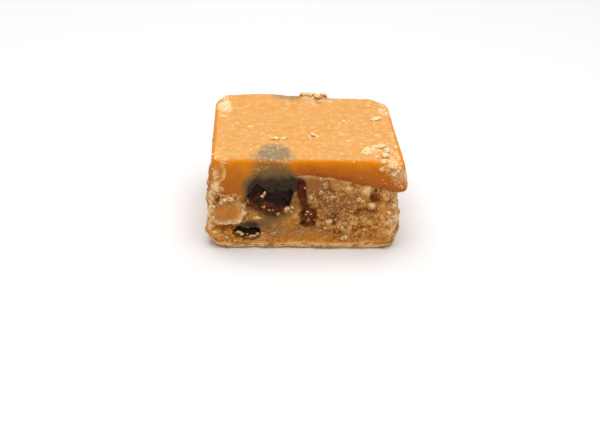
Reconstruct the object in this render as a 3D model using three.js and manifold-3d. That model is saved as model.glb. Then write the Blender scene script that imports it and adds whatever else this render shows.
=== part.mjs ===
// A cube of rum-and-raisin fudge, cut from a slab: a dense smooth layer on top, a crumbly broken layer
// below it, and raisins that show at the cut faces.
// Millimetres, +Z up. The origin is the middle of the base, and the face with the large raisin is the
// front, towards -Y.

import * as THREE from "three";
import { mergeVertices } from "three/addons/utils/BufferGeometryUtils.js";
import Module from "manifold-3d";

const wasm = await Module();
wasm.setup();

// ---------------------------------------------------------------- driving sizes

const WIDTH = 32; // left to right, across the top
const DEPTH = 25.3; // front to back
const HEIGHT = 17.5;
const CORNER_RADII = { frontLeft: 2.0, frontRight: 2.2, backRight: 3.6, backLeft: 3.0 }; // upright edges
const TOP_RIM_RADIUS = 0.8;
const BASE_RIM_RADIUS = 0.7;
// How the left and right ends lean and round off below: `spread` is how far the foot stands out past the
// top, `tuck` how far the base is drawn in, over the lowest `tuckHeight`. The lean fades towards the back.
const ENDS = {
  left: { spread: 1.1, tuck: 3.3, tuckHeight: 3.2 },
  right: { spread: 0.5, tuck: 1.9, tuckHeight: 2.8 },
};
const SPREAD_FADE = 0.55;
const FIT_GAP = 0.3; // clearance between the fudge and a piece set in it

// Grid of the block's skin.
const COLUMNS = { across: 38, deep: 22 };
const ROWS = { baseRim: 4, crumbly: 11, ledge: 1, smooth: 5, topRim: 3 };

// The line round the block where the smooth top layer ends. `at` counts the sides: 0 to 2 along the front
// from left to right, 2 to 4 along the right side, 4 to 6 along the back, 6 to 8 along the left side.
// `bulge` is how far the smooth layer stands out at the line, `recess` how far the crumbly layer stands in,
// and `half` is half the height over which the one passes into the other.
const LEDGE = [
  { at: 0.0, height: 10.9, bulge: 0.05, recess: 0.05, half: 0.2 },
  { at: 0.1, height: 10.4, bulge: 0.1, recess: 0.15, half: 0.2 },
  { at: 0.24, height: 10.1, bulge: 0.1, recess: 0.25, half: 0.2 },
  { at: 0.37, height: 9.2, bulge: 0.05, recess: 0.2, half: 0.2 },
  { at: 0.8, height: 13.7, bulge: -0.05, recess: 0.05, half: 0.2 },
  { at: 0.91, height: 14.4, bulge: -0.4, recess: -0.05, half: 0.16 },
  { at: 1.03, height: 14.5, bulge: -0.5, recess: -0.1, half: 0.16 },
  { at: 1.2, height: 14.1, bulge: -0.5, recess: -0.1, half: 0.16 },
  { at: 1.42, height: 13.3, bulge: -0.5, recess: -0.05, half: 0.16 },
  { at: 1.6, height: 12.5, bulge: -0.4, recess: 0.0, half: 0.18 },
  { at: 1.78, height: 12.3, bulge: -0.1, recess: 0.15, half: 0.25 },
  { at: 1.92, height: 11.5, bulge: 0.7, recess: 0.5, half: 0.5 },
  { at: 2.08, height: 11.0, bulge: 1.1, recess: 0.75, half: 0.65 },
  { at: 2.4, height: 11.3, bulge: 1.0, recess: 0.55, half: 0.5 },
  { at: 3.1, height: 12.4, bulge: 0.5, recess: 0.35, half: 0.3 },
  { at: 3.6, height: 11.7, bulge: 0.45, recess: 0.2, half: 0.25 },
  { at: 4.1, height: 11.4, bulge: 0.35, recess: 0.3, half: 0.3 },
  { at: 4.7, height: 12.9, bulge: -0.15, recess: 0.1, half: 0.2 },
  { at: 5.3, height: 13.3, bulge: -0.3, recess: -0.05, half: 0.16 },
  { at: 5.8, height: 11.9, bulge: 0.1, recess: 0.2, half: 0.2 },
  { at: 6.2, height: 11.1, bulge: 0.1, recess: 0.25, half: 0.3 },
  { at: 6.7, height: 12.3, bulge: 0.15, recess: 0.15, half: 0.2 },
  { at: 7.4, height: 11.2, bulge: 0, recess: 0.05, half: 0.2 },
  { at: 8.0, height: 10.9, bulge: 0.05, recess: 0.05, half: 0.2 },
];
const BULGE_CURVE = 1.7; // 1 leans straight out from the rim to the line, and more curves out sooner
const RECESS_FADE = 5; // depth below the line over which the crumbly layer comes back out

// Broken relief of the crumbly layer, and the faint roll of the poured top.
const CRUMBLE = [
  { wave: 4.6, rise: 0.22 },
  { wave: 2.1, rise: 0.34 },
];
const CRUMBLE_FADE = { low: [0.3, 1.6], high: [0.3, -0.5] }; // from the base, and from the line
const TOP_ROLL = { wave: 9, rise: 0.14 };

// The thin plate at the base: its lip stands out up to `lipHeight`, with a groove above it.
const FOOT = {
  lip: 0.16,
  lipHeight: 1.15,
  lipEdge: 0.3,
  lipStart: 0.5,
  groove: 0.22,
  grooveHeight: 1.9,
  grooveHalf: 0.55,
};

// Chips, plates and holes. `u` is x on the front and back and y on the sides, `v` is z, and on the top
// they are x and y. `rise` is outwards, and below zero for a hollow.
const MARKS = {
  front: [
    { u: -13.4, v: 7.5, ru: 3.5, rv: 2.6, rise: 0.6, edge: 0.16 }, // plate at the left
    { u: -11.2, v: 6.2, ru: 1.5, rv: 1.0, rise: 0.25, edge: 0.4 },
    { u: -13.2, v: 4.3, ru: 3.2, rv: 0.8, rise: -0.6, edge: 0.7 }, // groove under it
    { u: -15.9, v: 14.7, ru: 2.3, rv: 2.6, rise: -0.4, edge: 0.3 }, // shell-shaped chip on the left edge
    { u: 11.9, v: 10.0, ru: 1.5, rv: 1.3, rise: -1.2, edge: 0.7 }, // hole under the smooth layer
    { u: 9.9, v: 8.0, ru: 1.7, rv: 0.9, rise: -0.8, edge: 0.8 },
    { u: 9.6, v: 4.6, ru: 1.0, rv: 0.7, rise: -0.6, edge: 0.9 },
    { u: 13.6, v: 10.9, ru: 1.1, rv: 1.2, rise: 0.45, edge: 0.6 }, // knob between hole and corner
    { u: 14.6, v: 7.6, ru: 1.5, rv: 2.2, rise: 0.3, edge: 0.8 },
    { u: 5.2, v: 7.0, ru: 1.1, rv: 0.7, rise: -0.6, edge: 0.8 },
    { u: 3.6, v: 4.6, ru: 2.6, rv: 1.3, rise: 0.3, edge: 0.9 },
    { u: -5.6, v: 6.6, ru: 3.4, rv: 1.3, rise: -0.2, edge: 0.9 }, // dip below the large raisin
  ],
  right: [
    { u: -6.5, v: 8.2, ru: 2.2, rv: 1.3, rise: -0.8, edge: 0.8 },
    { u: 1.5, v: 6.0, ru: 3.2, rv: 2.4, rise: 0.45, edge: 0.3 },
    { u: 7.5, v: 9.2, ru: 1.8, rv: 1.0, rise: -0.7, edge: 0.9 },
    { u: 5.4, v: 3.4, ru: 2.2, rv: 0.9, rise: -0.5, edge: 0.8 },
  ],
  back: [
    { u: 10.4, v: 7.4, ru: 3.0, rv: 2.4, rise: 0.45, edge: 0.25 },
    { u: 4.4, v: 9.8, ru: 1.9, rv: 1.0, rise: -0.8, edge: 0.8 },
    { u: -8.6, v: 6.2, ru: 2.2, rv: 1.2, rise: -0.7, edge: 0.8 },
    { u: -13.2, v: 9.4, ru: 1.8, rv: 1.8, rise: 0.35, edge: 0.4 },
    { u: 0.8, v: 4.2, ru: 2.6, rv: 0.9, rise: -0.45, edge: 0.8 },
  ],
  left: [
    { u: -6.0, v: 7.6, ru: 2.4, rv: 2.2, rise: 0.4, edge: 0.3 },
    { u: 1.2, v: 9.0, ru: 1.8, rv: 0.9, rise: -0.7, edge: 0.8 },
    { u: 6.8, v: 5.6, ru: 2.0, rv: 1.2, rise: -0.6, edge: 0.8 },
    { u: -9.2, v: 3.2, ru: 1.8, rv: 0.8, rise: -0.45, edge: 0.8 },
  ],
  top: [
    { u: -7.5, v: 13.5, ru: 12, rv: 8, rise: 0.75, edge: 0.9 }, // swell towards the back edge
    { u: 2.6, v: 11.7, ru: 2.5, rv: 1.3, rise: 0.8, edge: 0.45 }, // flake folded up at the back edge
    { u: 0.1, v: 12.3, ru: 0.9, rv: 0.9, rise: 0.6, edge: 0.6 },
    { u: 15.6, v: -12.2, ru: 5.2, rv: 4.4, rise: -0.75, edge: 0.95 }, // worn front right corner
    { u: 15.4, v: 12.0, ru: 3.4, rv: 3.4, rise: -0.35, edge: 0.95 },
    { u: -16.2, v: 10.2, ru: 2.4, rv: 4.0, rise: -0.2, edge: 0.9 },
    { u: -15.6, v: -10.8, ru: 2.3, rv: 2.6, rise: -0.25, edge: 0.3 }, // the shell-shaped chip again
    { u: -5.6, v: -9.4, ru: 3.6, rv: 3.6, rise: 0.15, edge: 0.9 }, // rise over the large raisin
  ],
};
const RAGGED = { wave: 1.3, share: 0.22 }; // how far a mark's outline wanders
const SIDE_TURN = [0.35, 0.85]; // a side's marks fade out as the wall turns away from it

// Pieces of fruit, pressed flat as they set. `tipDegrees` turns a piece about x and y.
const LARGE_RAISIN = {
  centre: [-5.9, -9.9, 11.9],
  halfSizes: [4.9, 2.6, 5.2],
  tipDegrees: [-16, 10, 0],
  folds: 7,
  fold: 0.15,
  detail: 5,
};
const SMALL_RAISIN = {
  centre: [-10.0, -11.4, 3.2],
  halfSizes: [2.45, 1.6, 1.25],
  tipDegrees: [10, 9, 0],
  folds: 5,
  fold: 0.2,
  detail: 3,
};
const BACK_RAISIN = {
  centre: [-2.3, 10.9, 13.3],
  halfSizes: [3.0, 2.2, 2.8],
  tipDegrees: [18, -12, 0],
  folds: 6,
  fold: 0.18,
  detail: 3,
};
const PRESSED = 2.6; // 2 is a round lump, and more is boxier
const SHRED = {
  path: [
    [-1.0, -12.3, 13.0],
    [-0.85, -12.45, 11.2],
    [-0.6, -12.5, 9.7],
    [-0.05, -12.5, 8.3],
    [0.3, -12.4, 7.2],
  ],
  halfWidth: 0.48,
  halfThickness: 0.4,
  steps: 12,
  knots: [
    { centre: [0.3, -12.3, 6.9], halfSizes: [1.05, 0.75, 1.15] },
    { centre: [0.5, -12.3, 5.4], halfSizes: [0.95, 0.65, 0.7] },
  ],
  knotDetail: 2,
};

// Crumbs pressed on the top and the front, each fused to the block. They lie at (u, v) as the marks do,
// `sink` below the skin.
const CRUMBS = [
  { side: "top", u: 10.2, v: -9.3, halfSizes: [0.85, 0.7, 0.4] },
  { side: "top", u: 11.9, v: -7.3, halfSizes: [1.0, 0.5, 0.4] },
  { side: "top", u: 13.2, v: -7.8, halfSizes: [0.9, 0.6, 0.4] },
  { side: "top", u: 13.5, v: -10.2, halfSizes: [0.55, 1.0, 0.4] },
  { side: "top", u: 13.0, v: 3.6, halfSizes: [0.8, 0.4, 0.3] },
  { side: "top", u: 1.4, v: -3.9, halfSizes: [0.6, 0.5, 0.3] },
  { side: "top", u: -5.0, v: -5.2, halfSizes: [0.6, 0.5, 0.3] },
  { side: "front", u: 11.0, v: 8.9, halfSizes: [0.6, 0.5, 0.55] },
  { side: "front", u: 7.1, v: 2.0, halfSizes: [0.85, 0.45, 0.4] },
];
const CRUMB_SINK = 0.1;

// ---------------------------------------------------------------- small maths

const clamp = THREE.MathUtils.clamp;
const lerp = THREE.MathUtils.lerp;
const ease = (t) => t * t * (3 - 2 * t);
const smoothstep = (low, high, t) => ease(clamp((t - low) / (high - low), 0, 1));

function latticeValue(i, j, k) {
  const s = Math.sin(i * 127.1 + j * 311.7 + k * 74.7) * 43758.5453;
  return s - Math.floor(s);
}

// Smooth noise from -1 to 1: random values on a unit lattice, eased between.
function noise(x, y, z) {
  const [i, j, k] = [Math.floor(x), Math.floor(y), Math.floor(z)];
  const [u, v, w] = [ease(x - i), ease(y - j), ease(z - k)];
  const along = (b, c) => lerp(latticeValue(i, j + b, k + c), latticeValue(i + 1, j + b, k + c), u);
  return 2 * lerp(lerp(along(0, 0), along(1, 0), v), lerp(along(0, 1), along(1, 1), v), w) - 1;
}

function ledgeAt(at) {
  const next = Math.max(1, LEDGE.findIndex((knot) => knot.at >= at));
  const [a, b] = [LEDGE[next - 1], LEDGE[next]];
  const t = ease(clamp((at - a.at) / (b.at - a.at), 0, 1));
  return {
    height: lerp(a.height, b.height, t),
    bulge: lerp(a.bulge, b.bulge, t),
    recess: lerp(a.recess, b.recess, t),
    half: lerp(a.half, b.half, t),
  };
}

// ---------------------------------------------------------------- the block's skin

// Where a point on the edge of the square (a, b) lies on the outline, whose four corners have radii of
// their own: its place, its outward normal, and how far round the block it is, counted in half sides.
function outlineAt(a, b) {
  const radius = CORNER_RADII[(b < 0 ? "front" : "back") + (a < 0 ? "Left" : "Right")];
  const half = new THREE.Vector2(WIDTH / 2, DEPTH / 2);
  const full = new THREE.Vector2(a * half.x, b * half.y);
  const inner = new THREE.Vector2(
    clamp(full.x, -half.x + radius, half.x - radius),
    clamp(full.y, -half.y + radius, half.y - radius),
  );
  const normal = full.clone().sub(inner).normalize();
  const point = inner.clone().addScaledVector(normal, radius);
  let at;
  if (b <= -1 && a < 1) at = a + 1;
  else if (a >= 1 && b < 1) at = b + 3;
  else if (b >= 1 && a > -1) at = 5 - a;
  else at = 7 - b;
  return { point, normal, at: at % 8 };
}

// One ring of the wall, counted from the base: how far in it stands, its height and its slope.
function wallAt(row, ledge) {
  let left = row;
  if (left <= ROWS.baseRim) {
    const angle = (left / ROWS.baseRim - 1) * (Math.PI / 2);
    const inset = BASE_RIM_RADIUS * (1 - Math.cos(angle));
    return { inset, z: BASE_RIM_RADIUS * (1 + Math.sin(angle)), angle };
  }
  left -= ROWS.baseRim;
  const ledgeLow = ledge.height - ledge.half;
  if (left <= ROWS.crumbly) {
    return { inset: 0, z: lerp(BASE_RIM_RADIUS, ledgeLow, left / ROWS.crumbly), angle: 0 };
  }
  left -= ROWS.crumbly;
  const ledgeHigh = ledge.height + ledge.half;
  if (left <= ROWS.ledge) return { inset: 0, z: lerp(ledgeLow, ledgeHigh, left / ROWS.ledge), angle: 0 };
  left -= ROWS.ledge;
  const rimStart = HEIGHT - TOP_RIM_RADIUS;
  if (left <= ROWS.smooth) return { inset: 0, z: lerp(ledgeHigh, rimStart, left / ROWS.smooth), angle: 0 };
  left -= ROWS.smooth;
  const angle = (left / ROWS.topRim) * (Math.PI / 2);
  return {
    inset: TOP_RIM_RADIUS * (1 - Math.cos(angle)),
    z: rimStart + TOP_RIM_RADIUS * Math.sin(angle),
    angle,
  };
}

// Height of one mark at (u, v), with a ragged outline.
function markHeight(mark, u, v) {
  const wander = 1 + RAGGED.share * noise(u / RAGGED.wave, v / RAGGED.wave, mark.u);
  const reach = Math.hypot((u - mark.u) / mark.ru, (v - mark.v) / mark.rv) / wander;
  return mark.rise * (1 - smoothstep(1 - mark.edge, 1, reach));
}

function marksHeight(side, u, v) {
  return MARKS[side].reduce((sum, mark) => sum + markHeight(mark, u, v), 0);
}

function footRelief(z) {
  const lipTop = smoothstep(FOOT.lipHeight, FOOT.lipHeight - FOOT.lipEdge, z);
  const groove = Math.exp(-(((z - FOOT.grooveHeight) / FOOT.grooveHalf) ** 2));
  return FOOT.lip * lipTop * smoothstep(0, FOOT.lipStart, z) - FOOT.groove * groove;
}

// How far the wall stands out from its plain outline.
function wallRelief(p, normal, ledge) {
  const above = p.z - ledge.height;
  let out = 0;
  if (above >= 0) out += ledge.bulge * (1 - clamp(above / (HEIGHT - ledge.height), 0, 1) ** BULGE_CURVE);
  else out -= ledge.recess * Math.exp(above / RECESS_FADE);
  const crumbly = smoothstep(...CRUMBLE_FADE.high, above) * smoothstep(...CRUMBLE_FADE.low, p.z);
  for (const { wave, rise } of CRUMBLE) out += crumbly * rise * noise(p.x / wave, p.y / wave, p.z / wave);
  out += footRelief(p.z);
  const facing = (part) => smoothstep(...SIDE_TURN, part);
  out += facing(-normal.y) * marksHeight("front", p.x, p.z);
  out += facing(normal.y) * marksHeight("back", p.x, p.z);
  out += facing(normal.x) * marksHeight("right", p.y, p.z);
  out += facing(-normal.x) * marksHeight("left", p.y, p.z);
  return out;
}

function topRelief(p) {
  const roll = TOP_ROLL.rise * noise(p.x / TOP_ROLL.wave + 3.7, p.y / TOP_ROLL.wave, 0.5);
  return roll + marksHeight("top", p.x, p.y);
}

// How much the block is stretched along x at a point, to lean and round off its ends.
function endStretch({ x, y, z }) {
  const { spread, tuck, tuckHeight } = x < 0 ? ENDS.left : ENDS.right;
  const below = clamp(1 - z / tuckHeight, 0, 1);
  const drawnIn = tuck * (1 - Math.sqrt(1 - below ** 2));
  const lean = spread * (1 - (z / HEIGHT) ** 2) * (1 - SPREAD_FADE * (y / DEPTH + 0.5));
  return 1 + (lean - drawnIn) / (WIDTH / 2);
}

// Moves a point of the plain block to where the fudge's skin is.
function skinPoint(plain, normal, angle, ledge) {
  const p = plain.clone();
  p.x *= endStretch(plain);
  const out = wallRelief(p, normal, ledge) * Math.cos(angle);
  const up = topRelief(p) * Math.sin(Math.max(angle, 0));
  return p.add(new THREE.Vector3(normal.x * out, normal.y * out, up));
}

// The skin is a box's grid: each side is carried up the wall's profile, and the caps are filled in
// rings that shrink towards the middle.
function blockGeometry() {
  const rows = Object.values(ROWS).reduce((sum, count) => sum + count, 0);
  const geometry = new THREE.BoxGeometry(2, 2, rows, COLUMNS.across, COLUMNS.deep, rows);
  const places = geometry.getAttribute("position");
  for (let i = 0; i < places.count; i++) {
    const [a, b] = [places.getX(i), places.getY(i)];
    const row = places.getZ(i) + rows / 2;
    const ring = Math.max(Math.abs(a), Math.abs(b));
    const { point, normal, at } = outlineAt(a / (ring || 1), b / (ring || 1));
    const ledge = ledgeAt(at);
    const wall = wallAt(row, ledge);
    const level = point.addScaledVector(normal, -wall.inset).multiplyScalar(ring);
    const place = new THREE.Vector3(level.x, level.y, wall.z);
    const onCap = ring < 1 - 1e-6;
    const angle = onCap ? Math.sign(wall.angle) * (Math.PI / 2) : wall.angle;
    places.setXYZ(i, ...skinPoint(place, normal, angle, ledge).toArray());
  }
  return geometry;
}

// ---------------------------------------------------------------- solids

function toSolid(geometry) {
  const bare = geometry.clone();
  bare.deleteAttribute("normal");
  bare.deleteAttribute("uv");
  const merged = mergeVertices(bare, 1e-4);
  const index = merged.index ? merged.index.array : [...Array(merged.attributes.position.count).keys()];
  return new wasm.Manifold(
    new wasm.Mesh({
      numProp: 3,
      vertProperties: Float32Array.from(merged.attributes.position.array),
      triVerts: Uint32Array.from(index),
    }),
  );
}

function toGeometry(solid) {
  const { vertProperties, triVerts } = solid.getMesh();
  const geometry = new THREE.BufferGeometry();
  geometry.setAttribute("position", new THREE.BufferAttribute(vertProperties, 3));
  geometry.setIndex(new THREE.BufferAttribute(triVerts, 1));
  geometry.computeVertexNormals();
  return geometry;
}

// A round lump with lengthwise folds. `grow` is added to each half size, and leaves the folds out.
function lumpGeometry({ centre, halfSizes, tipDegrees = [0, 0, 0], folds = 0, fold = 0, detail }, grow = 0) {
  const geometry = new THREE.IcosahedronGeometry(1, detail);
  const places = geometry.getAttribute("position");
  const tip = new THREE.Euler(...tipDegrees.map(THREE.MathUtils.degToRad));
  for (let i = 0; i < places.count; i++) {
    const d = new THREE.Vector3().fromBufferAttribute(places, i).normalize();
    const round = Math.atan2(d.y, d.x);
    const wander = 1.1 * noise(d.x * 1.7 + centre[0], d.y * 1.7, d.z * 1.7);
    const crease = (1 - Math.abs(Math.sin((folds * round) / 2 + wander + d.z))) ** 2 * (1 - d.z ** 4);
    const boxy = d.toArray().reduce((sum, part) => sum + Math.abs(part) ** PRESSED, 0) ** (-1 / PRESSED);
    const size = boxy * (grow > 0 ? 1 : 1 - fold * crease);
    const reach = new THREE.Vector3(...halfSizes).multiplyScalar(size).addScalar(grow);
    places.setXYZ(i, ...d.multiply(reach).applyEuler(tip).add(new THREE.Vector3(...centre)).toArray());
  }
  return geometry;
}

// The torn strip of skin that runs down from the large raisin, and the knots that it ends in.
function shredSolid(grow = 0) {
  const path = new THREE.CatmullRomCurve3(SHRED.path.map((p) => new THREE.Vector3(...p)));
  const section = new THREE.Shape();
  section.absellipse(0, 0, SHRED.halfThickness + grow, SHRED.halfWidth + grow, 0, Math.PI * 2);
  const strip = new THREE.ExtrudeGeometry(section, {
    steps: SHRED.steps,
    curveSegments: 5,
    extrudePath: path,
    bevelEnabled: false,
  });
  return SHRED.knots.reduce(
    (solid, knot) => solid.add(toSolid(lumpGeometry({ ...knot, detail: SHRED.knotDetail }, grow))),
    toSolid(strip),
  );
}

function crumbSolid({ side, u, v, halfSizes }) {
  const onTop = side === "top";
  const plain = onTop ? new THREE.Vector3(u, v, HEIGHT) : new THREE.Vector3(u, -DEPTH / 2, v);
  const normal = new THREE.Vector2(0, -1);
  const skin = skinPoint(plain, normal, onTop ? Math.PI / 2 : 0, ledgeAt(u / (WIDTH / 2) + 1));
  const centre = onTop ? [skin.x, skin.y, skin.z - CRUMB_SINK] : [skin.x, skin.y + CRUMB_SINK, skin.z];
  return toSolid(lumpGeometry({ centre, halfSizes, detail: 0 }));
}

function fudgeSolid() {
  let solid = toSolid(blockGeometry());
  for (const crumb of CRUMBS) solid = solid.add(crumbSolid(crumb));
  for (const raisin of [LARGE_RAISIN, SMALL_RAISIN, BACK_RAISIN]) {
    solid = solid.subtract(toSolid(lumpGeometry(raisin, FIT_GAP)));
  }
  return solid.subtract(shredSolid(FIT_GAP));
}

// ---------------------------------------------------------------- materials

const fudgeFinish = new THREE.MeshStandardMaterial({ color: 0xd8954e, roughness: 0.55, metalness: 0 });
const raisinFinish = new THREE.MeshStandardMaterial({ color: 0x2c1c1a, roughness: 0.35, metalness: 0 });
const shredFinish = new THREE.MeshStandardMaterial({ color: 0x5a1a14, roughness: 0.35, metalness: 0 });

// ---------------------------------------------------------------- assembly

function namedMesh(name, geometry, material) {
  const mesh = new THREE.Mesh(geometry, material);
  mesh.name = name;
  return mesh;
}

const large = toSolid(lumpGeometry(LARGE_RAISIN));
const shred = shredSolid().subtract(toSolid(lumpGeometry(LARGE_RAISIN, FIT_GAP)));

const cube = new THREE.Group();
cube.add(
  namedMesh("fudge_block", toGeometry(fudgeSolid()), fudgeFinish),
  namedMesh("raisin_large", toGeometry(large), raisinFinish),
  namedMesh("raisin_small", toGeometry(toSolid(lumpGeometry(SMALL_RAISIN))), raisinFinish),
  namedMesh("raisin_back", toGeometry(toSolid(lumpGeometry(BACK_RAISIN))), raisinFinish),
  namedMesh("raisin_shred", toGeometry(shred), shredFinish),
);

export default cube;
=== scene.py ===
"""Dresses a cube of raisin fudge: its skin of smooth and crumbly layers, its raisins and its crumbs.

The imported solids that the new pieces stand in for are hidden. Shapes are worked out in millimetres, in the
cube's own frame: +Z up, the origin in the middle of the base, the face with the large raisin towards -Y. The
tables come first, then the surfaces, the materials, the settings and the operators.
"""

import math
from functools import partial
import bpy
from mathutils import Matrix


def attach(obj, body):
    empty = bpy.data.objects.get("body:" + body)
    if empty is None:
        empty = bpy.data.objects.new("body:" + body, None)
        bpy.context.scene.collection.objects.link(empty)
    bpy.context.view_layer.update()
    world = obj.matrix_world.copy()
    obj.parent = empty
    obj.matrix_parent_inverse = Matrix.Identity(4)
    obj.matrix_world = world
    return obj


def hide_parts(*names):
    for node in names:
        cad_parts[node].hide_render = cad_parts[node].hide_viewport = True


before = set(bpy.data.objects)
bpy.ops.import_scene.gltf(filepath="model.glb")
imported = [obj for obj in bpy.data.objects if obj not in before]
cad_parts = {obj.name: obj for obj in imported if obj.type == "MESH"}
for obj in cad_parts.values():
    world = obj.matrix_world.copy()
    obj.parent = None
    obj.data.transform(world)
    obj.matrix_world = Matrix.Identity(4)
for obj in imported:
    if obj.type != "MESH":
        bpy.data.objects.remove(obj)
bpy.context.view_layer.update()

from types import SimpleNamespace

import bpy
import numpy as np
from mathutils import Matrix

bl_info = {
    "name": "Raisin fudge cube",
    "version": (1, 0, 0),
    "blender": (4, 5, 0),
    "location": "3D View > Sidebar > Fudge",
    "description": "Builds a broken cube of raisin fudge with its crumbs, its raisins and a pale stage",
    "category": "Add Mesh",
}

MM = 0.001
BODY = "root"

# ---------------------------------------------------------------- form of the block, in millimetres

# spread: how far the foot stands out past the top; tuck: how far the base is drawn in below.
ENDS = {
    "left": {"spread": 1.1, "tuck": 3.3, "tuck_height": 3.2},
    "right": {"spread": 0.5, "tuck": 1.9, "tuck_height": 2.8},
}
# How much of the spread is gone at the back.
SPREAD_FADE = 0.55

# The line round the block where the smooth layer ends. `at` counts half sides from the front left
# corner: 0 to 2 is the front, 2 to 4 the right side, 4 to 6 the back, 6 to 8 the left side.
LEDGE = np.array(
    [
        # at, height, bulge of the smooth layer, recess of the crumbly one, half height of the step
        (0.0, 10.9, 0.05, 0.05, 0.2),
        (0.1, 10.4, 0.1, 0.15, 0.2),
        (0.24, 10.1, 0.1, 0.25, 0.2),
        (0.37, 9.2, 0.05, 0.2, 0.2),
        (0.8, 13.7, -0.05, 0.05, 0.2),
        (0.91, 14.4, -0.4, -0.05, 0.16),
        (1.03, 14.5, -0.5, -0.1, 0.16),
        (1.2, 14.1, -0.5, -0.1, 0.16),
        (1.42, 13.3, -0.5, -0.05, 0.16),
        (1.6, 12.5, -0.4, 0.0, 0.18),
        (1.78, 12.3, -0.1, 0.15, 0.25),
        (1.92, 11.5, 0.7, 0.5, 0.5),
        (2.08, 11.0, 1.1, 0.75, 0.65),
        (2.4, 11.3, 1.0, 0.55, 0.5),
        (3.1, 12.4, 0.5, 0.35, 0.3),
        (3.6, 11.7, 0.45, 0.2, 0.25),
        (4.1, 11.4, 0.35, 0.3, 0.3),
        (4.7, 12.9, -0.15, 0.1, 0.2),
        (5.3, 13.3, -0.3, -0.05, 0.16),
        (5.8, 11.9, 0.1, 0.2, 0.2),
        (6.2, 11.1, 0.1, 0.25, 0.3),
        (6.7, 12.3, 0.15, 0.15, 0.2),
        (7.4, 11.2, 0.0, 0.05, 0.2),
        (8.0, 10.9, 0.05, 0.05, 0.2),
    ]
)
# (pitch round the block, rise) of the ledge's serration. The bulge fades upwards by a power of the height,
# the recess fades downwards over RECESS_FADE.
LEDGE_SERRATION = ((11.0, 0.14), (31.0, 0.1))
BULGE_CURVE = 1.7
RECESS_FADE = 5.0

# (wave, rise) of the broken layer's swells, which start above the base and end below the ledge, and of
# the top's slow roll.
CRUMBLE_WAVES = ((4.6, 0.22), (2.1, 0.34))
CRUMBLE_FADE = {"low": (0.3, 1.6), "high": (0.3, -0.5)}
TOP_ROLL = (9.0, 0.14)

# The thin lip round the base, the waves of its upper edge, and the groove above it.
FOOT_LIP = {"rise": 0.16, "height": 1.2, "edge": 0.3, "start": 0.5}
FOOT_WAVES = ((2.6, 0.22), (0.9, 0.14))
FOOT_GROOVE = {"depth": 0.22, "height": 1.9, "half": 0.55}
# The painted foot ends between these heights, which wander by the rise.
FOOT_PAINT = {"wave": 1.9, "rise": 0.25, "ends": (1.45, 1.1)}

# How a mark's outline and a painted patch's wander, as waves and shares of their reach. A patch is nothing
# past the first share of PATCH_FADE and full within the second.
RAGGED_WAVE, RAGGED_SHARE = 1.3, 0.22
SERRATED_WAVE, SERRATED_SHARE = 0.45, 0.07
PATCH_WAVE, PATCH_SHARE = 1.1, 0.35
PATCH_FADE = (1.15, 0.45)

# Marks with a soft edge below CRISP_EDGE have painted rims, pale crust with a painted highlight most at their
# lower right: full on the front's plates, CHIP_RIM on its chips, and SIDE_RIM of that on the other sides.
# Holes deeper than DEEP get painted shade, and each plate gets a line of painted shadow round it.
CRISP_EDGE = 0.35
CHIP_RIM = 0.8
SIDE_RIM = 0.35
RIM_BAND = {"strength": 0.9, "reach": (0.5, 0.95), "facing": (-0.7, 0.6)}
DEEP = 0.45
HOLLOW_STRENGTH = 2.2
PLATE_SHADOW_LINE = {"strength": 0.8, "reach": (1.22, 1.02)}

# For each upright side: the axis that it faces along, which way, and the axis of u. One side gives way to
# the next while its normal's share along that axis goes through SIDE_TURN.
SIDES = {"front": (1, -1, 0), "back": (1, 1, 0), "right": (0, 1, 1), "left": (0, -1, 1)}
SIDE_TURN = (0.35, 0.85)

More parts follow.
